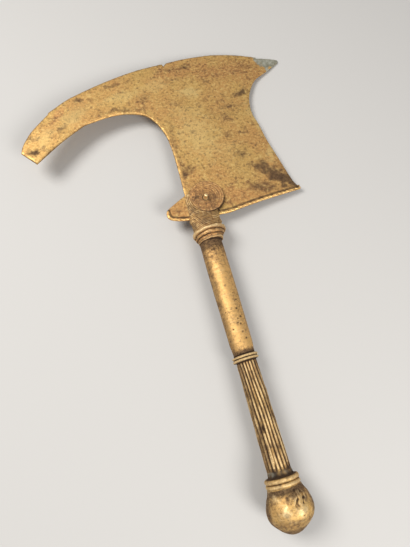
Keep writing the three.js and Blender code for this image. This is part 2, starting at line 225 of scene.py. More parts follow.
# %% Points of the outline
NECK_RADIUS = 13.3
TANG_FLOOR = BLADE_REACH - 19.6
STUB_LENGTH = 21.4
STUB_ROOT_HEIGHT = 26
STUB_NOSE_HEIGHT = 10.5
OUTER_TO_LIP = [(-0.562, 0.299), (-0.55, 0.331), (-0.52, 0.375), (-0.492, 0.403), (-0.452, 0.44)]
OUTER_TO_NICK = [
    (-0.45, 0.446), (-0.43, 0.458), (-0.367, 0.494), (-0.243, 0.539), (-0.117, 0.572), (-0.009, 0.586),
]
NICK = [(-0.003, 0.575)]
OUTER_TO_STEP = [
    (0.01, 0.588), (0.074, 0.595), (0.139, 0.597), (0.187, 0.595), (0.237, 0.588), (0.293, 0.575),
    (0.357, 0.554),
]
BEAK = [(0.361, 0.547), (0.387, 0.541), (0.414, 0.534), (0.436, 0.526), (0.44, 0.519)]
BACK = [
    (0.435, 0.512), (0.384, 0.483), (0.328, 0.453), (0.297, 0.415), (0.274, 0.3675), (0.265, 0.305),
    (0.274, 0.25), (0.282, 0.181), (0.3, 0.09), (0.32, -0.004), (0.3385, -0.031),
]
HEEL = (0.3365, -0.037)
BASE_BOW = [(0.75, -0.004), (0.5, -0.005), (0.25, 0.004), (0.12, 0.012)]
INNER = [
    (-0.0646, 0.05), (-0.0625, 0.12), (-0.0625, 0.21), (-0.0707, 0.279), (-0.096, 0.341),
    (-0.132, 0.375), (-0.186, 0.39), (-0.244, 0.39), (-0.303, 0.379), (-0.332, 0.372), (-0.351, 0.363),
    (-0.426, 0.317), (-0.518, 0.2475),
]
EDGE_SPACING = 1.3


def on_span(shares):
    """Points on the plate from shares of the blade's span."""
    return [Vector((BLADE_OFFSET + x * BLADE_SPAN, BLADE_REACH + y * BLADE_SPAN, 0)) for x, y in shares]


heel = on_span([HEEL])[0]
base_root = Vector((BLADE_OFFSET + NECK_RADIUS * 0.75, TANG_FLOOR, 0))
run = base_root - heel
side = Vector((-run.y, run.x, 0))
bowed = [heel + run * (1 - share) + side * bow for share, bow in BASE_BOW]
base_edge = smooth_line([heel] + bowed + [base_root], EDGE_SPACING)

stub_root = Vector((on_span(INNER)[0].x, TANG_FLOOR, 0))
nose_low = STUB_ROOT_HEIGHT * 0.17
nose_high = nose_low + STUB_NOSE_HEIGHT
STUB = [(0, 0), (0.2, STUB_ROOT_HEIGHT * 0.02), (0.55, STUB_ROOT_HEIGHT * 0.07), (0.88, nose_low),
        (1, nose_low + STUB_NOSE_HEIGHT * 0.3), (1, nose_low + STUB_NOSE_HEIGHT * 0.65), (0.9, nose_high),
        (0.4, STUB_ROOT_HEIGHT * 0.82), (0, STUB_ROOT_HEIGHT)]
stub_points = [stub_root + Vector((-out * STUB_LENGTH, height, 0)) for out, height in STUB]
stub_edge = smooth_line(stub_points, EDGE_SPACING)

# %% Join the outline
runs = [smooth_line(on_span(points), EDGE_SPACING) for points in (OUTER_TO_LIP, OUTER_TO_NICK)]
runs += [on_span(NICK), smooth_line(on_span(OUTER_TO_STEP), EDGE_SPACING)]
runs += [smooth_line(on_span(BEAK), EDGE_SPACING), smooth_line(on_span(BACK), EDGE_SPACING)]
runs += [base_edge, stub_edge, smooth_line(on_span(INNER), EDGE_SPACING)]
end_of_hook = [on_span([INNER[-1]])[0], on_span([OUTER_TO_LIP[0]])[0]]
runs += [smooth_line(end_of_hook, EDGE_SPACING)[1:-1]]
outline = [point for run_points in runs for point in run_points]
print("The outline has", len(outline), "points")

# %% [markdown]
# ## The plate
# The outline becomes one face. Two narrow rings are set in along its edge for the rounded rim, and the
# middle is cut into a fine net, so that the plate can be given the low swells of a hammered and scraped
# casting. Solidify then gives it its thickness.

# %% Make the plate
NET = 1.35
RIM_RINGS = (0.3, 0.5)
EDGE_WEAR = 0.14


def blade_net():
    """The flat face of the blade, cut into a net of small faces."""
    bm = bmesh.new()
    corners = []
    for point in outline:
        worn = Vector((grain(point, 2.3), grain(point + Vector((40, 0, 0)), 2.3), 0)) * EDGE_WEAR
        corners.append(bm.verts.new(point + worn))
    edges = [bm.edges.new(pair) for pair in zip(corners, corners[1:] + corners[:1])]
    bmesh.ops.contextual_create(bm, geom=edges)
    bmesh.ops.recalc_face_normals(bm, faces=bm.faces)
    middle = list(bm.faces)
    for width in RIM_RINGS:
        bmesh.ops.inset_region(bm, faces=middle, thickness=width, use_even_offset=True)
    inner = [max(bm.faces, key=lambda face: len(face.verts))]
    for axis, normal in ((0, Vector((1, 0, 0))), (1, Vector((0, 1, 0)))):
        places = [point[axis] for point in outline]
        for place in spaced(min(places) + NET / 2, max(places), NET):
            crossed = []
            for face in inner:
                reach = [vert.co[axis] for vert in face.verts]
                if min(reach) < place < max(reach):
                    crossed.append(face)
            if not crossed:
                continue
            edges = list({edge for face in crossed for edge in face.edges})
            verts = list({vert for face in crossed for vert in face.verts})
            plane = {"plane_co": normal * place, "plane_no": normal}
            cut = bmesh.ops.bisect_plane(bm, geom=crossed + edges + verts, dist=1e-5, **plane)
            known = set(inner)
            inner += [new for new in cut["geom"] if isinstance(new, bmesh.types.BMFace) and new not in known]
    return bm


plate = blade_net()
print("The net has", len(plate.faces), "faces")

# %% [markdown]
# The rim is thinner than the middle, with a soft round edge. On both faces the plate swells and dips by
# about a tenth of a millimetre, and small casting pits are pressed in, most of them toward the outer
# edge. Two numbers are kept on each point for the paint that comes later: how far it is from the edge,
# and whether that is the outer edge of the bow or the inner edge behind the hook.

# %% Give the plate its thickness, rim and pits
EDGE_STEPS = 8
ROUNDED_WIDTH = 0.8
RIM_SHARE = 0.45
SWELL = 0.1
PIT_DEPTH = 0.12
half = PLATE_THICKNESS / 2
bmesh.ops.solidify(plate, geom=list(plate.faces), thickness=PLATE_THICKNESS)
rim_finder = KDTree(len(outline) * EDGE_STEPS)
for i, point in enumerate(outline):
    following = outline[(i + 1) % len(outline)]
    for j in range(EDGE_STEPS):
        rim_finder.insert(point.lerp(following, j / EDGE_STEPS), i * EDGE_STEPS + j)
rim_finder.balance()
top_level = max(vert.co.z for vert in plate.verts)
edge_distance = plate.verts.layers.float.new("edge")
edge_kind = plate.verts.layers.float.new("kind")
outer_end = sum(len(points) for points in runs[:4])
inner_start = len(outline) - len(runs[-1]) - len(runs[-2])
for vert in plate.verts:
    face_side = 1 if vert.co.z > top_level - half else -1
    _, found, distance = rim_finder.find((vert.co.x, vert.co.y, 0))
    vert[edge_distance] = distance
    if found // EDGE_STEPS < outer_end:
        vert[edge_kind] = 1
    elif found // EDGE_STEPS >= inner_start:
        vert[edge_kind] = -1
    rounding = 1 - (1 - min(distance / ROUNDED_WIDTH, 1)) ** 2
    place = Vector((vert.co.x, vert.co.y, face_side * 60))
    swell = SWELL * grain(place, 23) + SWELL / 2 * grain(place, 7)
    near_top = ease(vert.co.y, 150, 185)
    pit = ease(grain(place, 2.6), 0.5 - 0.1 * near_top, 0.85) * PIT_DEPTH
    thick = RIM_SHARE + (1 - RIM_SHARE) * math.sqrt(rounding)
    vert.co.z = face_side * (half * thick + (swell - pit) * rounding)
bmesh.ops.recalc_face_normals(plate, faces=plate.faces)
heights = [vert.co.z for vert in plate.verts]
print("The plate is", round(max(heights) - min(heights), 2), "mm thick")

# %% [markdown]
# ## The cords along the base
# Along the base, and round the stub, the founder laid a cord of two wax threads twisted together, and a
# thin plain thread beside it. A cord is made here from rings bridged one to the next. Its section has two
# lobes, and the section turns as it goes along, which is what twisting does. Each point keeps a number,
# its bead, which is -1 on a lobe and 1 between two of them, so that the dirt can be laid between the
# beads.

# %% Make the cords
def cord(line, radius, lobe_depth=0.0, pitch=1.0, sides=12):
    """A cord along a line. With a lobe depth it is twisted, and a bead shows at every pitch."""
    bm = bmesh.new()
    bead = bm.verts.layers.float.new("bead")
    rings = []
    travelled = 0.0
    for i, point in enumerate(line):
        before, after = line[max(i - 1, 0)], line[min(i + 1, len(line) - 1)]
        travelled += (point - before).length
        turned = (after - before).to_track_quat("Z", "Y").to_matrix().to_4x4()
        place = Matrix.Translation(point) @ turned
        ring = bmesh.ops.create_circle(bm, segments=sides, radius=radius, matrix=place)
        for j, vert in enumerate(ring["verts"]):
            lobes = math.cos(2 * (math.tau * j / sides) - math.tau * travelled / pitch)
            uneven = 1 + 0.08 * grain(point, 3)
            vert[bead] = -lobes if lobe_depth else 0
            vert.co = point + (vert.co - point) * uneven * (1 - lobe_depth + lobe_depth * lobes)
        rings.append(list({edge for vert in ring["verts"] for edge in vert.link_edges}))
    for first, second in zip(rings, rings[1:]):
        bmesh.ops.bridge_loops(bm, edges=first + second)
    for end in (rings[0], rings[-1]):
        bmesh.ops.contextual_create(bm, geom=end)
    bmesh.ops.recalc_face_normals(bm, faces=bm.faces)
    return bm


def beside(line, distance, height=0.0):
    """A line moved sideways on the plate, to the right of its run, and to a height above its middle."""
    moved = []
    for i, point in enumerate(line):
        before, after = line[max(i - 1, 0)], line[min(i + 1, len(line) - 1)]
        run_along = (after - before).normalized()
        moved.append(point + Vector((run_along.y, -run_along.x, 0)) * distance + Vector((0, 0, height)))
    return moved


# %% Lay the cords
def length_of(line):
    """The length of a line, to a tenth of a millimetre."""
    return round(sum((end - start).length for start, end in zip(line, line[1:])), 1)


RIM_CORD_RADIUS = 1.5
RING_SPACING = 0.45
TWIST = 4.6
LOBE_DEPTH = 0.19
fine_base = smooth_line(base_edge[::6] + [base_edge[-1]], RING_SPACING)
fine_stub = smooth_line(stub_edge[:20:4] + stub_edge[20:24:2], RING_SPACING)
cords = [
    cord(beside(fine_base, RIM_CORD_RADIUS * 0.8), RIM_CORD_RADIUS, LOBE_DEPTH, TWIST),
    cord(beside(fine_stub, RIM_CORD_RADIUS * 0.8), RIM_CORD_RADIUS * 0.9, LOBE_DEPTH, TWIST),
]
for height in (half, -half):
    cords.append(cord(beside(fine_base, 3.4, height), 0.55))
    cords.append(cord(beside(fine_stub, 3.2, height), 0.5))
print("Cords in mm: along the base", length_of(fine_base), "and round the stub", length_of(fine_stub))

# %% [markdown]
# ## Patina and a painted highlight on the blade
# The blade's skin is a mottled map: brown stains where damp sat, a grey-green crust on the beak, orange
# tones along the outer edge, paler yellow metal where it was rubbed, stretches where the casting is full
# of small pits, and a few bright scratches. A pale, bright spot on the hook is a painted highlight. Each
# mark is an oval: its place, its two half lengths, its turn in degrees and its strength. Grain breaks up
# its border. The marks are written on the points of the mesh, and the material reads them.

# %% Marks on the blade
BROWN = [
    (12, 190, 9, 3.5, -10, 0.6), (27, 191, 7, 4.5, 0, 0.65), (78, 146.5, 9, 4.5, 25, 0.75),
    (80, 147.5, 3, 2.5, 0, 1.5), (69, 145, 6, 3.5, 10, 0.6), (64, 133.5, 11, 3, -8, 0.6),
    (69, 101, 1.5, 4.5, 10, 0.65), (62, 99, 4, 1.5, -40, 0.5), (57, 74, 7.5, 6, 0, 0.65),
    (63, 86, 6, 4, 0, 0.35), (52, 120, 8, 6, 30, 0.5), (49.5, 99.5, 7, 5, 0, 0.5),
    (84, 43, 18, 9, -48, 1.15), (95, 34, 11, 7, -50, 1.1), (72, 56, 11, 7, -30, 0.9),
    (64, 35, 18, 6, -10, 0.7), (-1.4, 67, 10, 6, 60, 0.7), (-6, 105, 30, 3, 88, 0.5),
    (-5, 75, 14, 3.5, 85, 0.5), (-109, 139.6, 6, 4.2, 10, 0.95), (-104, 133, 1.6, 1, 0, 0.7),
    (-90, 168.8, 5.5, 3, 20, 0.8), (-76.5, 165.5, 3.5, 3, 0, 0.5), (-101.5, 147, 3.5, 3, 0, 0.45),
    (-83, 157, 4, 2, 0, 0.5), (-52, 180, 10, 3, 12, 0.7), (-34, 182, 5, 3, 0, 0.5),
    (-30, 188, 3, 2.5, 0, 0.4), (-24, 160, 8, 4, 10, 0.55), (-52, 149, 24, 2.4, -6, 0.65),
    (-138, 117, 5, 4, 0, 0.9), (-116, 150, 8, 3, 60, 0.4), (5, 148, 8, 4, -20, 0.3),
    (40, 125, 9, 5, 10, 0.3), (95, 178, 14, 3, -10, 0.5), (20, 30, 20, 12, 0, 0.3),
    (87, 42, 21, 13, -46, 0.6), (-21, 27, 11, 8, 0, 0.4),
]
GREY = [(124, 181, 16, 11, -15, 1.2)]
ORANGE = [
    (-110, 155, 11, 4.5, 55, 1.0), (60, 180, 56, 12, -8, 0.6), (20, 185, 30, 8, 5, 0.6),
    (45, 30, 34, 12, -12, 0.7), (30, 62, 10, 6, 0, 0.5), (3, 60, 12, 14, 0, 0.5),
    (-20, 25, 14, 12, 0, 0.9), (102, 165, 12, 12, 40, 0.6), (45, 142, 14, 8, 0, 0.3),
    (-60, 168, 24, 8, 20, 0.3),
]
PITTED = [
    (55, 182, 60, 14, -8, 0.75), (10, 186, 26, 9, 5, 0.8), (-118, 143, 12, 8, 45, 0.5),
    (-95, 160, 20, 6, 30, 0.5), (50, 130, 18, 14, 0, 0.6), (20, 146, 30, 8, 0, 0.5),
    (66, 40, 24, 9, -15, 0.5), (-20, 26, 10, 10, 0, 0.4),
]
# The first mark is a painted highlight on the hook; the others are worn spots and scratches.
RUBBED_AND_HIGHLIGHT = [
    (-96, 151, 15, 7, 38, 1.0), (25, 158, 8, 5, 0, 0.35), (51.6, 54.8, 4, 1, -35, 0.7),
    (48, 60, 3, 0.9, 10, 0.6), (66, 36, 4, 1, -30, 0.6), (60, 71, 4, 0.8, 20, 0.5),
    (-9, 168, 5, 1, 0, 0.6), (-42, 186, 4, 1, 15, 0.6), (-130, 124, 5, 0.9, 50, 0.6),
    (80, 52, 7, 0.8, -50, 0.4), (88, 47, 7, 0.8, -45, 0.4),
]
# The third mark is a painted highlight on the hook; the others are paler metal.
PALE = [
    (25, 158, 11, 8, 0, 0.9), (20, 105, 22, 34, 10, 0.6), (-95, 150, 17, 8, 35, 0.6),
    (-125, 132, 14, 7, 45, 0.5), (-10, 172, 22, 8, 5, 0.5), (-45, 165, 24, 7, 10, 0.6),
    (84, 110, 6, 24, 12, 0.7), (86, 70, 5, 18, -20, 0.6), (40, 80, 14, 18, 0, 0.4),
    (15, 135, 20, 12, 0, 0.4),
]


print("Marks on the blade:", sum(len(marks) for marks in (BROWN, GREY, ORANGE, PITTED, RUBBED_AND_HIGHLIGHT, PALE)))

# %% [markdown]
# A mark's oval is bent by slow grain, and its border is then broken up by finer grain. Dirt also sits in
# the groove between the two cords, and a dark ring beside the boss is painted shade, where the boss's
# edge stands over the plate. Along the outer edge a brown line is partly a stain where no hand goes and
# partly painted shade, and along the inner edge below the bay a brown line of painted shade dims the
# edge. In the bay of the hook the edge is rubbed bright instead. The cords are brown on their inner half
# and bright on the beads of their outer side: partly dirt and wear, partly painted shade and a painted
# highlight.

# %% Helpers for paint
def mark_strength(place, marks, size=4.0):
    """How strong the marks of one kind are at a place. The painting cuts it off at 1."""
    strongest = 0.0
    bend = Vector((grain(place, 2 * size), grain(place + Vector((50, 0, 0)), 2 * size), 0))
    bent = place + bend * size * 0.8
    for x, y, half_length, half_width, degrees, strength in marks:
        away = Vector((bent.x - x, bent.y - y))
        if away.length > 2.3 * max(half_length, half_width):
            continue
        away.rotate(Matrix.Rotation(-math.radians(degrees), 2))
        reach = math.hypot(away.x / half_length, away.y / half_width)
        strongest = max(strongest, strength * ease(1.6 - reach + 0.6 * grain(place, size), 0, 1.4))
    return strongest


def paint(bm, name, rule):
    """Writes a number for every point of the mesh, from a rule that takes the point."""
    layer = bm.verts.layers.float.get(name) or bm.verts.layers.float.new(name)
    for vert in bm.verts:
        vert[layer] = min(max(rule(vert), -1), 1)


# %% Grooves of the plate
BOSS_MIDDLE = Vector((8.8, 34.8, 0))
BOSS_RADIUS = 16.25
base_finder = KDTree(len(fine_base) + len(fine_stub))
for i, point in enumerate(fine_base + fine_stub):
    base_finder.insert(point, i)
base_finder.balance()


def from_base(vert):
    """How far a point is from the cord's own line along the base and the stub."""
    return base_finder.find((vert.co.x, vert.co.y, 0))[2]


def groove_at(vert):
    """How deep a place of the plate lies in the groove between the cords, and how strong the painted shade
    is in a ring beside the boss.
    """
    from_boss = (Vector((vert.co.x, vert.co.y, 0)) - BOSS_MIDDLE).length - BOSS_RADIUS
    # Painted shade: a dark ring on the plate where the boss's edge stands over it.
    beside_boss = 0.8 * (1 - ease(from_boss, 0.4, 1.3))
    beside_cord = 0.85 * (1 - ease(abs(from_base(vert) - 2.9), 0.5, 1.3))
    return max(beside_boss, beside_cord)


# %% Paint the blade and join it
BAY_START = 140
record_hollows(plate, 0.25, 6)
level = plate.verts.layers.float["hollow"]
paint(plate, "hollow", lambda vert: 0 if vert[edge_distance] < 0.9 else vert[level])
paint(plate, "hollow", lambda vert: max(vert[level], groove_at(vert)))
marks_by_name = {"brown": BROWN, "grey": GREY, "orange": ORANGE, "pale": PALE, "pitted": PITTED}
for name, marks in marks_by_name.items():
    paint(plate, name, lambda vert, marks=marks: mark_strength(vert.co, marks))
brown_stain_and_shade = plate.verts.layers.float["brown"]
for vert in plate.verts:
    # Along the outer edge a thin brown line: partly a stain, partly painted shade of the edge.
    if vert[edge_kind] > 0:
        vert[brown_stain_and_shade] = max(vert[brown_stain_and_shade], 0.65 * (1 - ease(vert[edge_distance], 0.3, 1.5)))
    # Along the inner edge below the bay a brown line of painted shade, which dims the edge's highlight.
    if vert[edge_kind] < 0 and vert.co.y < BAY_START:
        vert[brown_stain_and_shade] = max(vert[brown_stain_and_shade], 0.6 * (1 - ease(vert[edge_distance], 0.3, 1.2)))


def rubbed_plate(vert):
    """Fine scratches, worn spots and a painted highlight on the hook, and a worn edge in the bay of the
    hook.
    """
    edge_wear = 0.3 if vert[edge_kind] < 0 and vert.co.y >= BAY_START else 0.1
    return max(edge_wear * (1 - ease(vert[edge_distance], 0.1, 1)), mark_strength(vert.co, RUBBED_AND_HIGHLIGHT, 2))


paint(plate, "rubbed", rubbed_plate)
for body in cords:
    record_hollows(body, 0.12, 4)
    level = body.verts.layers.float["hollow"]
    bead = body.verts.layers.float["bead"]
    paint(body, "hollow", lambda vert: 0.4 * vert[level] + 0.65 * vert[bead])
    # Brown on the cord's inner half and bright on its outer beads: partly dirt and wear, partly painted
    # shade and a painted highlight.
    paint(body, "brown", lambda vert: blend(0.2, 0.85, (from_base(vert) - 0.8) / 0.5))
    paint(body, "rubbed", lambda vert: (0.5 - 0.5 * vert[level]) * (1 - ease(from_base(vert), 0.7, 1.3)))
blade = piece_from([plate] + cords, "cast_blade", "blade")

# %% [markdown]
# ## The staff of the handle
# Collar, shaft, middle ring, grip, lower rings and pommel were built up in wax on one round stick, and
# they are one casting. So they are spun here from a single side line, and each stretch is then worked
# over: the threads wander, the shaft gets its pits, the grip its ridges and the pommel its flaws.

# %% Rings and stations of the staff
COLLAR_FOOT = -10.3
RIM_HEIGHT = 2.6
SHAFT_RADIUS = 10.4
WAIST_RADIUS = 9.15
MIDDLE_RING_TOP = -116.4
MIDDLE_RING_RADIUS = 11.2
GRIP_TOP = -121.6
GRIP_UPPER_RADIUS = 8.9
GRIP_LOWER_RADIUS = 10.1
GRIP_FLARE = 1.4
LOWER_RING_TOP = -213.1
LOWER_RING_RADIUS = 13.8
POMMEL_CURVE = [
    (0, 0.72), (0.09, 0.785), (0.2, 0.89), (0.32, 0.957), (0.44, 1), (0.56, 0.99), (0.67, 0.91),
    (0.77, 0.765), (0.86, 0.59), (0.93, 0.4), (0.98, 0.195), (1, 0),
]
COLLAR_THREADS = [
    (-10.3, -8.1, 10.4, 1.3), (-8.1, -5.6, 11.5, 0.7), (-5.6, -2.7, 12.8, 1.0), (-2.7, 1.3, 13.9, 1.7),
]
SHAFT_STATIONS = [
    (MIDDLE_RING_TOP, WAIST_RADIUS), (-113.2, WAIST_RADIUS), (-105.8, SHAFT_RADIUS * 0.95),
    (-84.6, SHAFT_RADIUS * 0.97), (-52.7, SHAFT_RADIUS), (COLLAR_FOOT, SHAFT_RADIUS * 0.98),
]


def shaft_radius(y):
    """The radius of the shaft at a height, on straight lines between its stations."""
    for (low, radius_low), (high, radius_high) in zip(SHAFT_STATIONS, SHAFT_STATIONS[1:]):
        if y <= high:
            return blend(radius_low, radius_high, (y - low) / (high - low))
    return SHAFT_STATIONS[-1][1]


def ring_radius(y, foot, top, core, crest):
    """Two threads side by side round a core."""
    return core + (crest - core) * thread(2 * (y - foot) / (top - foot))


# %% Spin the staff
THREAD_STEP = 0.26
STAFF_SIDES = 160
LOWER_RING_CORE = 12.1
side_line = smooth_line([Vector((out * POMMEL_RADIUS, POMMEL_TOP - down * POMMEL_LENGTH, 0))
                         for down, out in reversed(POMMEL_CURVE)], 0.65)
for y in spaced(POMMEL_TOP, LOWER_RING_TOP, THREAD_STEP)[1:]:
    radius = ring_radius(y, POMMEL_TOP, LOWER_RING_TOP, LOWER_RING_CORE, LOWER_RING_RADIUS)
    side_line.append((radius, y, 0))
for y in spaced(LOWER_RING_TOP, GRIP_TOP, 0.9):
    flare = GRIP_FLARE * (1 - ease(y, LOWER_RING_TOP - 2, LOWER_RING_TOP + 9))
    share = (y - LOWER_RING_TOP) / (GRIP_TOP - LOWER_RING_TOP)
    side_line.append((blend(GRIP_LOWER_RADIUS, GRIP_UPPER_RADIUS, share) + flare, y, 0))
for y in spaced(GRIP_TOP, MIDDLE_RING_TOP, THREAD_STEP):
    radius = ring_radius(y, GRIP_TOP, MIDDLE_RING_TOP, GRIP_UPPER_RADIUS, MIDDLE_RING_RADIUS)
    side_line.append((radius, y, 0))
side_line += [(shaft_radius(y), y, 0) for y in spaced(MIDDLE_RING_TOP, COLLAR_FOOT, 0.8)]
for foot, top, core, relief in COLLAR_THREADS:
    for y in spaced(foot, top, THREAD_STEP):
        side_line.append((core + relief * thread((y - foot) / (top - foot)), y, 0))
side_line += [(13.6, 1.4, 0), (NECK_RADIUS * 0.8, RIM_HEIGHT, 0), (0, RIM_HEIGHT, 0)]
staff = spun(side_line, STAFF_SIDES)
print("The staff has", len(staff.faces), "faces")

# %% [markdown]
# The ridges of the grip are wax threads laid lengthwise, about three millimetres apart. No two have the
# same height, they lean to one side and wander a little, one ends in a small knob with a gap above it,
# and one is half worn away for a few millimetres. They run out just above the lower rings, where a plain
# band was left. One radian round the grip is about ten millimetres, which turns angles into widths.

# %% Ridges of the grip
RIDGE_COUNT = 18
RIDGE_HEIGHT = 1.05
RIDGE_DRIFT = math.radians(22)
MM_PER_RADIAN = 10
KNOB = (-180.3, math.radians(120))
KNOB_GAP = (KNOB[0] + 5, KNOB[1])
WORN_SPOT = (-193, math.radians(96))


def spot(y, angle, middle, height, width):
    """1 at a spot on the grip, falling to 0 around it over a height and a width in millimetres."""
    round_grip = (angle - middle[1]) * MM_PER_RADIAN
    return math.exp(-(((y - middle[0]) / height) ** 2) - ((round_grip / width) ** 2))


def ridge_at(y, angle):
    """How far the ridges of the grip stand out, from 0 in a groove to 1 on a crest."""
    share = (y - LOWER_RING_TOP) / (GRIP_TOP - LOWER_RING_TOP)
    wander = 0.05 * math.sin(share * 5 + math.sin(angle) * 2) + 0.02 * math.sin(share * 12 + angle * 3)
    drift = RIDGE_DRIFT * (share - 0.5)
    laid = (angle - drift - wander + 0.05 * math.sin(3 * angle + 1)) * RIDGE_COUNT / math.tau
    number = math.floor(laid)
    height = 0.8 + 0.35 * noise.noise(Vector((number * 3.7, y / 11, 5)))
    ends = ease(y, LOWER_RING_TOP + 3.5, LOWER_RING_TOP + 9 + 3 * noise.noise(Vector((number * 1.7, 3, 2))))
    ends *= 1 - ease(y, GRIP_TOP - 1.5, GRIP_TOP)
    below_knob = KNOB[0] - y
    tail = math.exp(-(((angle - KNOB[1] + 0.004 * below_knob) * MM_PER_RADIAN / 0.8) ** 2))
    tail *= 1.2 * ease(below_knob, -1.5, 0) * (1 - ease(below_knob, 20, 25))
    gap = 0.75 * spot(y, angle, KNOB_GAP, 3.5, 1.2)
    worn = spot(y, angle, WORN_SPOT, 4, 3)
    ridge = height * ends * (1 - gap) * (1 - 0.4 * worn) * abs(math.sin(math.pi * (laid % 1)))
    return min(max(ridge, tail), 1)


standing_out = max(ridge_at(-167, math.radians(degrees)) for degrees in range(360))
print("Half way up the grip the ridges stand out by up to", round(RIDGE_HEIGHT * standing_out, 2), "mm")

# %% [markdown]
# The depth that the mesh measures by itself is too weak for fine threads, so the grooves between them
# are also worked out from their own formulas. The other stretches get their relief here too: lumps and
# flaws on the pommel, fine grain on the rings, pits and holes on the shaft. The holes are listed one by
# one: each has its place across and along the shaft, and its reach.

# %% Grooves and relief of the staff
FLAWED_SPOT = Vector((5, -228.5, 0))
SHAFT_PITS = [
    (2.6, -77.7, 1.2), (1.2, -86.5, 0.9), (4.2, -85.3, 1.1), (0.2, -90, 0.9), (2.3, -91.3, 1.1),
    (-5, -94.8, 0.8), (3.4, -104, 1.0), (-7, -78.8, 0.6), (3.8, -63.5, 0.7), (4.6, -70, 0.8),
    (2.2, -98, 0.7),
]


def near(place, x, y, reach):
    """1 at a spot on the upper side of the staff, falling to 0 around it."""
    if place.z < 0:
        return 0
    return math.exp(-((place.x - x) ** 2 + (place.y - y) ** 2) / reach ** 2)


def groove_on_staff(y, angle):
    """High at the bottom of a groove between threads or ridges, and below 0 on their crests."""
    if POMMEL_TOP < y < LOWER_RING_TOP:
        return 0.7 - 1.2 * thread(2 * (y - POMMEL_TOP) / (LOWER_RING_TOP - POMMEL_TOP))
    if LOWER_RING_TOP <= y < GRIP_TOP:
        band = 0.45 * (1 - ease(y, LOWER_RING_TOP + 3, LOWER_RING_TOP + 7))
        smooth_side = 1 - 0.5 * ease(angle, math.radians(125), math.radians(160))
        if band >= 0.4:
            return band
        return max((0.9 - 2.1 * ridge_at(y, angle) ** 1.5) * smooth_side - band, -1)
    if GRIP_TOP <= y < MIDDLE_RING_TOP:
        return 0.8 - 1.6 * thread(2 * (y - GRIP_TOP) / (MIDDLE_RING_TOP - GRIP_TOP))
    for foot, top, core, relief in COLLAR_THREADS:
        if foot <= y < top:
            return 0.65 - 1.3 * relief / 1.7 * thread((y - foot) / (top - foot))
    return 0


def staff_rise(y, angle, place):
    """How far a point of the staff moves outward from its side line, in millimetres."""
    if y < POMMEL_TOP:
        front = Vector((place.x, place.y, 0))
        above = 1 if place.z > 0 else 0
        flaw_field = above * (1 - ease((front - FLAWED_SPOT).length, 4, 9))
        flaws = ease(grain(place, 3.4) + 0.45 * flaw_field, 0.45, 0.75) * flaw_field
        pits = ease(grain(place, 1.9), 0.5, 0.75)
        lumps = 0.45 * grain(place, 8) + 0.15 * grain(place, 4) + 0.1 * grain(place, 2.2)
        return lumps - 0.7 * flaws - 0.35 * pits
    if y < LOWER_RING_TOP:
        return 0.35 * grain(place, 5) + 0.2 * grain(place, 1.6)
    if y < GRIP_TOP:
        knob = 0.5 * spot(y, angle, KNOB, 1.4, 1.4)
        return RIDGE_HEIGHT * (ridge_at(y, angle) - 1) + knob + 0.1 * grain(place, 2)
    if y < MIDDLE_RING_TOP:
        return 0.12 * grain(place, 4)
    if y < COLLAR_FOOT:
        right_side = ease(place.x, 1, 6) * (1 if place.z > -3 else 0.3)
        middle = 1 - ease(abs(y + 74), 18, 34)
        near_ends = ease(y, -32, -16) + 1 - ease(y, -112, -104)
        pits = ease(grain(place, 1.3) + 0.2 * right_side * middle + 0.16 * near_ends, 0.5, 0.72)
        holes = max(near(place, x, depth_y, reach) for x, depth_y, reach in SHAFT_PITS)
        return 0.12 * grain(place, 14) + 0.06 * near_ends * grain(place, 1.5) - 0.2 * pits - 0.35 * holes
    return 0.5 * grain(place, 7) + 0.4 * grain(place, 2.4)


# %% [markdown]
# Now each point of the staff moves outward by its relief. The collar is set a little aside and askew,
# the middle ring isn't quite level, the pommel's tip leans, and the whole handle leans by a quarter of
# a degree: small faults that show that it was built up by hand.

# %% Work over the staff
HEAD_SHIFT = 1.4
COLLAR_TILT = math.radians(2)
TIP_LEAN = 1.6
HANDLE_LEAN = math.tan(math.radians(0.28))
groove = staff.verts.layers.float.new("groove")
for vert in staff.verts:
    radius = math.hypot(vert.co.x, vert.co.z)
    if radius < 0.01:
        continue
    angle = math.atan2(vert.co.z, vert.co.x)
    y = vert.co.y
    vert[groove] = groove_on_staff(y, angle) * (1 + 0.5 * grain(vert.co, 3.5))
    grown = radius + staff_rise(y, angle, vert.co) * min(radius / 3, 1)
    vert.co.x = grown * math.cos(angle)
    vert.co.z = grown * math.sin(angle)
    if y > COLLAR_FOOT - 1:
        askew = ease(y, COLLAR_FOOT - 1, COLLAR_FOOT + 2)
        vert.co.x += HEAD_SHIFT * askew
        inner_threads = 1 - ease(abs(y + 6), 1.5, 4)
        wobble = 0.35 * math.sin(2 * angle + 0.6 * y) + 0.7 * inner_threads * math.sin(angle + 2.2)
        vert.co.y += askew * (math.sin(COLLAR_TILT) * vert.co.x + wobble)
    elif y > MIDDLE_RING_TOP - 8:
        vert.co.y += 0.3 * math.sin(angle + 2) * (1 - ease(abs(y + 119), 3, 6))
    elif y < POMMEL_TOP:
        vert.co.x -= TIP_LEAN * ((POMMEL_TOP - y) / POMMEL_LENGTH) ** 3
for vert in staff.verts:
    vert.co.x -= HANDLE_LEAN * max(0, COLLAR_FOOT - vert.co.y)
bmesh.ops.recalc_face_normals(staff, faces=staff.faces)
record_hollows(staff, 0.3, 8)
level = staff.verts.layers.float["hollow"]
groove = staff.verts.layers.float["groove"]
for vert in staff.verts:
    if MIDDLE_RING_TOP < vert.co.y < COLLAR_FOOT:
        holes = max(near(vert.co, x, y, reach * 0.9) for x, y, reach in SHAFT_PITS)
        vert[level] = max(vert[level], 0.9 * holes)
    if vert[groove]:
        vert[level] = min(max(0.35 * vert[level] + vert[groove], -1), 1)
heights = [vert.co.y for vert in staff.verts]
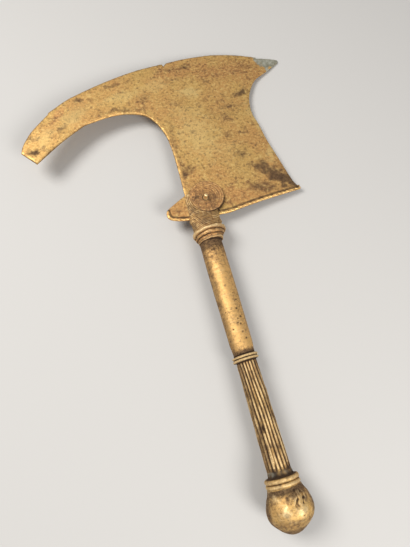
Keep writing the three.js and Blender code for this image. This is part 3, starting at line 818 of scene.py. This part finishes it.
print("The staff runs from y =", round(min(heights), 1), "to", round(max(heights), 1))

# %% [markdown]
# ## The forked head
# Above the collar the round neck flattens into two cheeks that hold the plate between them. Threads of
# wax are wound aslant round the neck, and others lie in bows under the boss. Two small burrs stand out at
# its sides, where metal ran into cracks of the mould. The body is spun as a plain round and then pressed
# to its oval sections: each has its height, its left and right edge and its half depth.

# %% Make the neck and the cheeks
HEAD_FOOT = -1.3
WOUND_TOP = 19
HEAD_TOP = 47.8
HEAD_SIDES = 150
BURRS = [(-11.5, 12.5, 2.5), (14.5, 8, 2)]
HEAD_SECTIONS = [
    (HEAD_FOOT, 11.9, 14.7, 12.0), (5.3, 11.9, 14.7, 10.8), (10.6, 11.9, 14.7, 8.3), (15.1, 12.5, 15.3, 5.8),
    (18.4, 12.6, 15.7, 4.1), (23.4, 12.9, 16.9, 3.7), (34.8, 12.9, 17.6, 3.4), (40.5, 10.7, 16.9, 3.4),
    (HEAD_TOP, 3.0, 14.7, 3.4),
]


def head_section(y):
    """Left edge, right edge and half depth of the head at a height."""
    for low, high in zip(HEAD_SECTIONS, HEAD_SECTIONS[1:]):
        if y <= high[0]:
            share = (y - low[0]) / (high[0] - low[0])
            return [blend(a, b, share) for a, b in zip(low[1:], high[1:])]
    return HEAD_SECTIONS[-1][1:]


def winding_rise(x, y, angle):
    """How far the wound threads stand out on the neck: slanting rounds below, bows under the boss above."""
    slanting = (y - 0.22 * x + 0.5 * math.sin(2 * angle + 1)) / 1.9
    from_boss = (Vector((x, y, 0)) - BOSS_MIDDLE).length
    bowed = (from_boss + 0.4 * math.sin(5 * angle)) / 1.7
    share = ease(from_boss, 21, 25)
    return 0.5 * (share * thread(slanting) + (1 - share) * thread(bowed))


heights = spaced(HEAD_FOOT, WOUND_TOP, 0.28) + spaced(WOUND_TOP, HEAD_TOP, 0.8)
head_line = [(0, HEAD_FOOT, 0)] + [(1, y, 0) for y in heights] + [(1, HEAD_TOP, 0), (0, HEAD_TOP, 0)]
head = spun(head_line, HEAD_SIDES)
for vert in head.verts:
    radius = math.hypot(vert.co.x, vert.co.z)
    angle = math.atan2(vert.co.z, vert.co.x)
    left, right, depth = head_section(vert.co.y)
    x = (right - left) / 2 + (right + left) / 2 * vert.co.x
    windings = winding_rise(x, vert.co.y, angle) if radius > 0.5 else 0
    rough = 0.25 * grain((x, vert.co.y, 10 * vert.co.z), 3)
    burr = 0
    for burr_x, burr_y, spread in BURRS:
        burr += math.exp(-((vert.co.y - burr_y) ** 2 + (x - burr_x) ** 2) / spread)
    swell = windings + rough + 0.8 * burr if radius > 0.5 else 0
    vert.co.x = x + swell * math.cos(angle)
    vert.co.z = vert.co.z * depth + swell * math.sin(angle)
record_hollows(head, 0.16, 6)
print("The head has", len(head.faces), "faces")

# %% [markdown]
# The plate passes through a slot between the cheeks. A box is taken away from the head for it, with a gap
# of three tenths of a millimetre on either side of the plate. The cut is applied at once, so that no
# modifier stays. Two short threads are laid over the neck beside the boss, one twisted and one plain.

# %% Cut the slot
SLOT_HALF_WIDTH = PLATE_THICKNESS / 2 + 0.3
SLOT_FLOOR = TANG_FLOOR - 0.3


def without_box(bm, low, high):
    """The body with a box cut away."""
    whole = bpy.data.meshes.new("whole")
    bm.to_mesh(whole)
    bm.free()
    box = bmesh.new()
    bmesh.ops.create_cube(box, size=1)
    bmesh.ops.scale(box, vec=high - low, verts=box.verts)
    bmesh.ops.translate(box, vec=(high + low) / 2, verts=box.verts)
    cutter_mesh = bpy.data.meshes.new("cutter")
    box.to_mesh(cutter_mesh)
    box.free()
    body, cutter = (bpy.data.objects.new("work", mesh) for mesh in (whole, cutter_mesh))
    for work in (body, cutter):
        bpy.context.scene.collection.objects.link(work)
    cut = body.modifiers.new("slot", "BOOLEAN")
    cut.operation = "DIFFERENCE"
    cut.solver = "EXACT"
    cut.object = cutter
    worked_out = body.evaluated_get(bpy.context.evaluated_depsgraph_get())
    result = bpy.data.meshes.new_from_object(worked_out)
    remains = bmesh.new()
    remains.from_mesh(result)
    for work in (body, cutter):
        bpy.data.objects.remove(work)
    for mesh in (whole, cutter_mesh, result):
        bpy.data.meshes.remove(mesh)
    return remains


def on_neck(x, y):
    """The point of the neck's upper side above x and y."""
    left, right, depth = head_section(y)
    out = (x - (right - left) / 2) / ((right + left) / 2)
    return Vector((x, y, depth * math.sqrt(max(0, 1 - out * out))))


NECK_THREAD = [(14.9, 14.3), (14, 13), (12.6, 11.6), (10.4, 10.4), (7.4, 9.9)]
twisted_line = smooth_line([on_neck(x, y) for x, y in NECK_THREAD], 0.4)
plain_line = [point + Vector((0, 2.1, -0.4)) for point in twisted_line]
neck_threads = [cord(twisted_line, 0.75, 0.12, 3), cord(plain_line, 0.5)]
slot_low = Vector((-60, SLOT_FLOOR, -SLOT_HALF_WIDTH))
slot_high = Vector((60, 90, SLOT_HALF_WIDTH))
head = without_box(head, slot_low, slot_high)
print("The forked head has", len(head.faces), "faces")

# %% [markdown]
# ## The two bosses
# A boss is one long thread of wax, coiled flat from the rim to the eye and topped with a small nipple,
# like the head of a rivet. The coil is a true spiral here: its height follows radius and angle together,
# so that one round of the angle moves the thread in by its own width. It was coiled by hand, so its eye
# sits off the middle. The coil on the hidden face is a guess, and is made coarser.

# %% Make the bosses
BOSS_LEAN = 0.0062
NIPPLE_RADIUS = 2
NIPPLE_HEIGHT = 6.5
EYE_SHIFT = Vector((-2.9, -3.4, 0))
COIL_PITCH = 1.75
BOSS_EDGE = 4.5
BOSS_PEAK = BOSS_EDGE + 1.8
BOSS_SIDES = 128
THREAD_HEIGHT = 0.32
NIPPLE_SIDE = [(1.25, 0.1), (1.05, 0.25), (0.93, 0.5), (0.85, 0.75), (0.78, 0.94), (0.6, 1), (0, 1)]


def boss(face_side, pitch):
    """A coiled boss on one face of the head: 1 is the upper face and -1 the hidden one."""
    inner = NIPPLE_RADIUS * 1.4
    line = [(0, 0, 0), (BOSS_RADIUS - 0.3, 0, 0), (BOSS_RADIUS, BOSS_EDGE - 0.6, 0)]
    for radius in spaced(BOSS_RADIUS - 0.1, inner, 0.22):
        line.append((radius, blend(BOSS_EDGE, BOSS_PEAK, (BOSS_RADIUS - radius) / (BOSS_RADIUS - inner)), 0))
    line += [(NIPPLE_RADIUS * out, BOSS_PEAK + NIPPLE_HEIGHT * share, 0) for out, share in NIPPLE_SIDE]
    bm = spun(line, BOSS_SIDES)
    for vert in bm.verts:
        radius = math.hypot(vert.co.x, vert.co.z)
        angle = math.atan2(vert.co.z, vert.co.x)
        height = vert.co.y
        if inner - 0.1 < radius < BOSS_RADIUS and height > 1:
            uneven = 0.25 * math.sin(angle * 2 + radius) + 0.2 * grain(vert.co, 5)
            turns = (BOSS_RADIUS - radius + uneven) / pitch - angle / math.tau
            height += THREAD_HEIGHT * (thread(turns) - 0.6) + 0.14 * grain(vert.co, 2.2)
        inward = max(0, 1 - radius / BOSS_RADIUS)
        flat = Vector((vert.co.x, -face_side * vert.co.z, 0))
        leaned = height * (1 - BOSS_LEAN * flat.y)
        vert.co = BOSS_MIDDLE + flat + EYE_SHIFT * inward + Vector((0, 0, face_side * leaned))
    bmesh.ops.recalc_face_normals(bm, faces=bm.faces)
    record_hollows(bm, 0.26, 5)
    level = bm.verts.layers.float["hollow"]
    for vert in bm.verts:
        out = (Vector((vert.co.x, vert.co.y, 0)) - BOSS_MIDDLE).length
        # The boss's rim gets a dark line of painted shade, weaker on its left side.
        from_left = ease((vert.co.x - BOSS_MIDDLE.x) / BOSS_RADIUS, -0.95, -0.3)
        if out > BOSS_RADIUS - 0.35:
            vert[level] = 0.15 + 0.75 * from_left
        elif out > BOSS_RADIUS - 1.5:
            vert[level] = -0.25
    return bm


bosses = [boss(1, COIL_PITCH), boss(-1, COIL_PITCH * 2)]
print("Each boss has", len(bosses[0].faces), "faces")

# %% [markdown]
# ## Wear and patina on the handle
# Hands kept the shaft and the pommel golden. The grip's ridges are bright and its grooves stay dark
# brown, the head and its coil kept a brown skin, and the nipple and the collar's rim caught every rub.
# Painted shade darkens the shaft's sides and underside and the pommel's right side, underside and tip.
# The rules for the staff go by height, stretch by stretch, because each stretch was handled in its own
# way.

# %% Rules for the staff
# Brown stains on the pommel; the mark along its right edge is painted shade.
POMMEL_STAINS_AND_SHADE = [
    (4, -226, 10, 3.5, 0, 0.9), (-12.5, -233.5, 5, 6, 10, 0.2), (0, -250, 6, 5, 0, 0.5),
    (15, -236, 3, 12, 0, 0.9), (8.8, -230, 3, 2, 0, 0.9),
]
# Painted highlights: bright spots on the pommel's upper side, partly worn metal.
POMMEL_HIGHLIGHTS = [
    (-8.6, -235.5, 2.6, 3.4, 0, 1.0), (4.4, -237.6, 3.4, 3, 0, 1.0), (-12.3, -225, 1.6, 3, 20, 0.7),
]


def brown_of_staff(vert):
    """Patina at the ends of the shaft, and painted shade on its sides, underside and the pommel's right
    side.
    """
    y = vert.co.y
    if y < POMMEL_TOP:
        patch = mark_strength(vert.co, POMMEL_STAINS_AND_SHADE, 2.5) if vert.co.z > 0 else 0
        top_band = 1 - ease(POMMEL_TOP - y, 2, 7)
        # Painted shade on the pommel's underside, right side and tip.
        far_sides = max(ease(-vert.co.z, -12, -2), ease(vert.co.x, 10, 15), ease(-y, 244, 251))
        # A dark band at the join with the rings, and painted shade on the pommel's lower part.
        return max(patch, 1.1 * top_band, 0.9 * far_sides, 0.5 * ease(-y, 239, 243))
    if y < LOWER_RING_TOP:
        return 0.42
    if y < GRIP_TOP:
        # The grip is browner toward its sides.
        return 0.5 + 0.25 * ease(abs(vert.co.x), 2, 8)
    if y < COLLAR_FOOT:
        collar_end = 0.75 * ease(y, -25, -12) * (1 + 0.6 * grain(vert.co, 5)) + 0.35 * ease(y, -46, -20)
        ends = collar_end + 1.1 * (1 - ease(y, -115.5, -110))
        # Painted shade along both sides of the shaft and on its underside.
        flanks = max(0.5 * ease(vert.co.x, 6.5, 9), 0.55 * ease(-vert.co.x, 5, 9))
        return max(ends, 0.85 * ease(-vert.co.z, -6, 2), flanks)
    # The collar is browner toward its right side.
    return 0.05 + 0.3 * ease(vert.co.x, 2, 9)


def pitted_staff(vert):
    """Where small pits crowd: on the pommel, on the right of the shaft and at the shaft's ends."""
    y = vert.co.y
    if y < GRIP_TOP:
        return 0.4 if y < POMMEL_TOP else 0
    right_side = ease(vert.co.x, 0, 4) * (1 - ease(abs(y + 80), 14, 34))
    return max(0.8 * right_side, 1.2 * ease(y, -38, -22), 0.7 * (1 - ease(y, -114, -106)))


def grey_of_staff(vert):
    """The plain band just above the lower rings has a dull grey skin."""
    above = vert.co.y - LOWER_RING_TOP
    return 0.42 * ease(above, 0, 1) * (1 - ease(above, 4, 9))


def rubbed_collar(vert):
    """The rim is worn bright on its left, and the crests of two threads below it a little more."""
    y = vert.co.y
    left_side = 1 - ease(vert.co.x, 0, 8)
    rim = 0.3 * ease(y, -2.5, -0.5) * (1 - ease(y, 0.8, 1.6)) * left_side
    crests = 0.45 * (1 - ease(abs(y + 4.2), 0.3, 0.9)) + 0.4 * (1 - ease(abs(y + 9.2), 0.3, 0.8))
    return max(rim, crests * (0.7 + 0.8 * grain(vert.co, 4)))


# %% [markdown]
# The six marks are first set to nothing on every body of the handle, because the joined mesh needs all of
# them. Then each body gets its own: the nipples are rubbed and pale, partly wear and partly a painted
# highlight, and the coils have a stain round the eye, with a patch of painted shade left of the nipple.

# %% Paint the handle and join it
# Painted shade left of the nipple, and a wide brown stain over the coil.
EYE_SHADE_AND_STAIN = [(-1.4, 34.6, 5, 3.4, -15, 0.9), (6, 30, 17, 13, 0, 0.65)]


def on_coil(vert):
    """Whether a point of a boss belongs to the coil and not to the nipple."""
    return abs(vert.co.z) < BOSS_PEAK + 0.6


def nipple_wear_and_highlight(vert):
    """How much the nipple is worn and brightened by a painted highlight: fully from its lower part upward.
    """
    return ease(abs(vert.co.z), BOSS_PEAK + 0.4, BOSS_PEAK + 1.5)


for body in neck_threads:
    record_hollows(body, 0.12, 4)
for body in (staff, head, *bosses, *neck_threads):
    for name in ("brown", "grey", "orange", "pale", "pitted", "rubbed"):
        paint(body, name, lambda vert: 0)
paint(staff, "brown", brown_of_staff)
paint(staff, "pitted", pitted_staff)
paint(staff, "grey", grey_of_staff)
paint(staff, "orange", lambda vert: 0.1 + 0.5 * ease(vert.co.y, -46, -24))
paint(staff, "rubbed", rubbed_collar)
paint(staff, "pale", lambda vert: 0.6 if MIDDLE_RING_TOP < vert.co.y < COLLAR_FOOT else 0.2)
pommel_highlight = staff.verts.layers.float["rubbed"]
for vert in staff.verts:
    # The pommel's upper side gets its painted highlights.
    if vert.co.y < POMMEL_TOP and vert.co.z > 0:
        vert[pommel_highlight] = mark_strength(vert.co, POMMEL_HIGHLIGHTS, 2.5)
paint(head, "brown", lambda vert: 0.5)
paint(head, "orange", lambda vert: 0.3)
paint(head, "pitted", lambda vert: 0.5)
for body in bosses:
    paint(body, "brown", lambda vert: mark_strength(vert.co, EYE_SHADE_AND_STAIN, 2.5) if on_coil(vert) else 0)
    paint(body, "orange", lambda vert: 0.8 if on_coil(vert) else 0)
    # The nipples get a painted highlight, partly worn metal, in bright and pale.
    paint(body, "rubbed", nipple_wear_and_highlight)
    paint(body, "pale", nipple_wear_and_highlight)
for body in neck_threads:
    paint(body, "brown", lambda vert: 0.4)
handle = piece_from([staff, head] + bosses + neck_threads, "cast_handle", "handle")

# %% [markdown]
# ## Colours and nodes
# Colours are written as they look on a screen, in six hexadecimal digits, and one function turns them
# into the linear values that the shader works with. Another adds a node: an input is either a plain value
# or the output of an earlier node.

# %% Helpers for materials
def colour(digits):
    """Linear red, green, blue and alpha from six hexadecimal digits."""
    parts = [int(digits[i:i + 2], 16) / 255 for i in (0, 2, 4)]
    return [c / 12.92 if c <= 0.04045 else ((c + 0.055) / 1.055) ** 2.4 for c in parts] + [1]


def add(tree, kind, inputs, **settings):
    """Adds a node with its settings, and fills or links its inputs."""
    new = tree.nodes.new(kind)
    for name, value in settings.items():
        setattr(new, name, value)
    for name, value in inputs.items():
        if isinstance(value, bpy.types.NodeSocket):
            tree.links.new(value, new.inputs[name])
        else:
            new.inputs[name].default_value = value
    return new


def new_material(name):
    """A material without any node."""
    material = bpy.data.materials.new(name)
    material.use_nodes = True
    material.node_tree.nodes.clear()
    return material


print("Half bright on a screen is", round(colour("808080")[0], 3), "in linear values")

# %% [markdown]
# ## Old golden bronze
# Copper alloyed with tin or zinc is golden when it is cleaned. In the air it takes a thin brown skin,
# thickest in the hollows. Three steps build such a finish here. A mask says where a coat lies: it is a
# soft step in some pattern, weighed by a mark that was painted on the mesh. Coats are laid one over the
# other. And a weighed sum joins patterns where a border is broken up, or where the gloss and the bump
# gather several causes.

# %% Masks, coats and sums
def mask(tree, value, limits, shares=(0, 1), weight=1.0):
    """A mask that goes softly from one share to the other as a value crosses its limits."""
    inputs = {"Value": value, "From Min": limits[0], "From Max": limits[1]}
    inputs.update({"To Min": shares[0], "To Max": shares[1]})
    soft = add(tree, "ShaderNodeMapRange", inputs, interpolation_type="SMOOTHSTEP").outputs[0]
    return add(tree, "ShaderNodeMath", {0: soft, 1: weight}, operation="MULTIPLY").outputs[0]


def coated(tree, ground, coats):
    """Lays coats over a ground, one after the other. Each is a mask and a colour."""
    for share, tone in coats:
        laid = add(tree, "ShaderNodeMix", {0: share, 6: ground, 7: tone}, data_type="RGBA")
        ground = laid.outputs[2]
    return ground


def weighed_sum(tree, base, parts):
    """Adds to a base each part times its weight."""
    for part, weight in parts:
        inputs = {0: part, 1: weight, 2: base}
        base = add(tree, "ShaderNodeMath", inputs, operation="MULTIPLY_ADD").outputs[0]
    return base


# %% [markdown]
# The patterns come next. A noise scale of 1000 divided by millimetres gives cells of that many
# millimetres, because the mesh is in metres: slow clouds of warmer metal, mottles, flecks, specks, and
# the fine grain of the clay mould. That grain is really finer than a tenth of a millimetre, and scratches
# are as narrow. Both are drawn coarser, half a millimetre and nearly one millimetre wide, so that they
# show. Four of the painted marks get their borders broken up by mottles and flecks.

# %% The patterns of the bronze
NOISES = {"clouds": (26, 4, 0.55, 0), "mottle": (7, 5, 0.65, 0.3), "flecks": (2.4, 4, 0.7, 0.9),
          "speckle": (1.1, 3, 0.6, 0.7), "fine": (0.5, 2, 0.5, 0.1)}
STROKE_LENGTH = 8
STROKES_ACROSS = 9
STROKE_TURN = 0.7


def per_mm(size):
    """Texture scale for features of that many millimetres."""
    return 1000 / size


def bronze_patterns(tree):
    """All patterns and painted marks of the bronze, by their names."""
    place = add(tree, "ShaderNodeTexCoord", {}).outputs["Object"]
    centred = add(tree, "ShaderNodeMapping", {"Vector": place, "Location": (0, 0, -0.015)}).outputs[0]
    found = {}
    for name, (size, detail, rough, shift) in NOISES.items():
        moved = add(tree, "ShaderNodeMapping", {"Vector": centred, "Location": (shift, shift, 0)}).outputs[0]
        inputs = {"Vector": moved, "Scale": per_mm(size), "Detail": detail, "Roughness": rough}
        found[name] = add(tree, "ShaderNodeTexNoise", inputs).outputs["Fac"]
    inputs = {"Vector": centred, "Rotation": (0, 0, STROKE_TURN), "Scale": (1, STROKES_ACROSS, 1)}
    drawn = add(tree, "ShaderNodeMapping", inputs).outputs[0]
    inputs = {"Vector": drawn, "Scale": per_mm(STROKE_LENGTH), "Detail": 3}
    found["strokes"] = add(tree, "ShaderNodeTexNoise", inputs).outputs["Fac"]
    # The mark of worn metal also carries the painted highlights.
    for name in ("brown", "grey", "orange", "pale", "pitted", "rubbed", "hollow"):
        found[name] = add(tree, "ShaderNodeAttribute", {}, attribute_name=name).outputs["Fac"]
    for name in ("brown", "grey", "orange", "pale"):
        found[name] = weighed_sum(tree, found[name], [(found["mottle"], 0.6), (found["flecks"], 0.6)])
    return found


print("Noise sizes in mm:", {name: values[0] for name, values in NOISES.items()})

# %% [markdown]
# The colour is built in the order in which the real skin grew: the golden ground with paler and browner
# flecks, fine strokes of scraping, brown stains and the grey-green crust, dark pits where the casting was
# spongy, dirt in the hollows, and last the bright metal on what stands out. The brown also lays painted
# shade, the dark of the hollows a painted shade round the boss, and the bright metal painted highlights.

# %% The colour of the bronze
def bronze_skin(tree, found, tones):
    """The colour of the bronze, from its patterns and its tones."""
    ground, warm, pale, brown, dirt_and_shade, bright = [colour(digits) for digits in tones]
    mottle, flecks, speckle, hollow = [found[name] for name in ("mottle", "flecks", "speckle", "hollow")]
    stain_and_shade_tone = coated(tree, brown, [(mask(tree, speckle, (0.35, 0.65)), dirt_and_shade)])
    crust_tone = coated(tree, colour("98957f"), [(mask(tree, mottle, (0.35, 0.65)), colour("c2c0ae"))])
    crest = mask(tree, hollow, (-0.85, -0.1), (0.85, 0))
    return coated(tree, ground, [
        (mask(tree, found["clouds"], (0.35, 0.68), (0, 0.7)), warm),
        (mask(tree, found["orange"], (0.7, 1.4)), warm),
        (mask(tree, found["pale"], (0.7, 1.5)), pale),
        (mask(tree, mottle, (0.5, 0.7), (0, 0.6)), brown),
        (mask(tree, flecks, (0.52, 0.66), (0, 0.6)), brown),
        (mask(tree, flecks, (0.34, 0.48), (0.8, 0)), pale),
        (mask(tree, speckle, (0.5, 0.62), (0, 0.45), found["pitted"]), colour("7d5238")),
        (mask(tree, found["strokes"], (0.57, 0.66), (0, 0.25)), bright),
        (mask(tree, found["strokes"], (0.34, 0.42), (0.15, 0)), brown),
        # Brown stains, and painted shade on the shaft, the pommel and the blade's edges.
        (mask(tree, found["brown"], (0.62, 1.65), (0, 0.9)), stain_and_shade_tone),
        (mask(tree, found["grey"], (0.9, 1.25)), crust_tone),
        (mask(tree, found["pits"], (0.69, 0.75), (0, 0.6)), dirt_and_shade),
        # Dirt in the hollows, and painted shade round the boss.
        (mask(tree, hollow, (0.1, 0.8), (0, 0.92)), dirt_and_shade),
        (mask(tree, speckle, (0.3, 0.6), (0.4, 1), crest), bright),
        # Bright metal where worn, and painted highlights on the hook, the pommel and the nipples.
        (mask(tree, flecks, (0.35, 0.6), (0.85, 0.45), found["rubbed"]), bright),
    ])


# %% [markdown]
# Stained and dirty metal is dull, and rubbed metal is smoother, so the roughness follows the same
# patterns, also where they carry painted shade and highlights. The bump is the grain of the mould with
# the small pits pressed in. Much of the skin is metal oxide, which is no metal, so the metallic value
# stays a little under 1.

# %% The gloss, the bump and the two bronzes
def old_bronze(name, tones, roughness):
    """Cast golden bronze with its old skin, and the painted shade and highlights that its marks carry."""
    material = new_material(name)
    tree = material.node_tree
    found = bronze_patterns(tree)
    speckle = found["speckle"]
    found["pits"] = weighed_sum(tree, speckle, [(found["pitted"], 0.13)])

    dull = mask(tree, found["mottle"], (0.3, 0.7), (roughness, roughness + 0.12))
    dirt_and_shade_dulling = mask(tree, found["hollow"], (0.1, 0.7), (0, 0.2))
    stain_and_shade = mask(tree, found["brown"], (0.62, 1.65))
    gloss = weighed_sum(tree, dull, [(dirt_and_shade_dulling, 1), (stain_and_shade, 0.22), (found["rubbed"], -0.16)])

    pits = mask(tree, found["pits"], (0.69, 0.75))
    height = weighed_sum(tree, speckle, [(found["fine"], 0.4), (found["flecks"], 1.2), (pits, -0.6)])
    bump = add(tree, "ShaderNodeBump", {"Height": height, "Strength": 0.4, "Distance": 0.0004}).outputs[0]
    skin = bronze_skin(tree, found, tones)
    inputs = {"Base Color": skin, "Roughness": gloss, "Metallic": 0.85, "Normal": bump}
    shader = add(tree, "ShaderNodeBsdfPrincipled", inputs)
    add(tree, "ShaderNodeOutputMaterial", {"Surface": shader.outputs[0]})
    return material


# Tones in order: ground, warm, pale, brown, dirt and bright metal. Brown and dirt also lay painted
# shade, and bright metal lays painted highlights.
BLADE_TONES = ("d6ad67", "d29d60", "e8c781", "654d3b", "43342a", "ecc47e")
HANDLE_TONES = ("cba766", "bf8f5a", "dcb270", "745b44", "46352a", "ebd09c")
blade_bronze = old_bronze("Old bronze with stains, painted shade and highlights", BLADE_TONES, 0.46)
handle_bronze = old_bronze("Hand-rubbed bronze", HANDLE_TONES, 0.55)
blade.data.materials.append(blade_bronze)
handle.data.materials.append(handle_bronze)
print("Materials:", [m.name for m in bpy.data.materials])

# %% [markdown]
# ## Floor, light and camera
# The axe lies on a plain pale floor under two large soft lamps, one high on the left and a weaker one in
# front. The camera looks down at the angle that the axe was seen from: nearly from above, from the
# pommel's side, and turned so that the handle runs to the lower right. The floor lies a fifth of a
# millimetre under the axe, so that the flats that it rests on don't share a place with the floor.

# %% Floor
FLOOR_GAP = 0.0002
floor_bm = bmesh.new()
bmesh.ops.create_grid(floor_bm, x_segments=1, y_segments=1, size=3)
floor_mesh = bpy.data.meshes.new("floor")
floor_bm.to_mesh(floor_mesh)
floor_bm.free()
floor = bpy.data.objects.new("floor", floor_mesh)
floor.location.z = -FLOOR_GAP
bpy.context.scene.collection.objects.link(floor)

# Matt pale board
board = new_material("Matt pale board")
board_look = {"Base Color": colour("b6b3ae"), "Roughness": 0.85}
board_shader = add(board.node_tree, "ShaderNodeBsdfPrincipled", board_look)
add(board.node_tree, "ShaderNodeOutputMaterial", {"Surface": board_shader.outputs[0]})
floor.data.materials.append(board)


# %% [markdown]
# Lamps give their power in watts, and their size in metres sets how soft the shadows are. The colours go
# to the picture by the Standard view, because a softer one turns bright gold to white.

# %% Lamps and sky
def lamp(name, place, aim, size, watts):
    """A round soft lamp at a place, turned toward its aim."""
    data = bpy.data.lights.new(name, "AREA")
    data.shape = "DISK"
    data.size = size
    data.energy = watts
    light = bpy.data.objects.new(name, data)
    light.location = place
    light.rotation_euler = (Vector(aim) - Vector(place)).to_track_quat("-Z", "Y").to_euler()
    bpy.context.scene.collection.objects.link(light)


lamp("high_left", (-0.55, 0.35, 0.95), (0, 0.02, 0), 0.6, 12)
lamp("front_right", (0.35, -0.75, 0.75), (0, -0.05, 0), 0.5, 9)
print("Lamps:", [light.name for light in bpy.data.lights])
world = bpy.data.worlds.new("studio")
world.use_nodes = True
sky = world.node_tree.nodes["Background"]
sky.inputs["Color"].default_value = colour("e9e9ec")
sky.inputs["Strength"].default_value = 0.5
bpy.context.scene.world = world
bpy.context.scene.view_settings.view_transform = "Standard"

# %% Camera
SENSOR_WIDTH = 36
FOCAL_PIXELS = 450
PICTURE_HEIGHT_PIXELS = 547
SEEN_FROM = Vector((-83.64, -160.69, 374.69))
SEEN_TURNS = [math.radians(degrees) for degrees in (20.01, -5.29, -15.67)]

camera_data = bpy.data.cameras.new("camera")
camera_data.sensor_width = SENSOR_WIDTH
camera_data.lens = SENSOR_WIDTH * FOCAL_PIXELS / PICTURE_HEIGHT_PIXELS
camera_data.clip_start = 0.01
camera = bpy.data.objects.new("camera", camera_data)
seen_from = Matrix.Translation(LAID_DOWN @ SEEN_FROM)
seen_along = Euler(SEEN_TURNS).to_matrix().to_4x4()
camera.matrix_world = seen_from @ turn @ seen_along
bpy.context.scene.collection.objects.link(camera)
bpy.context.scene.camera = camera
print("The camera looks from", [round(value, 3) for value in camera.matrix_world.translation])
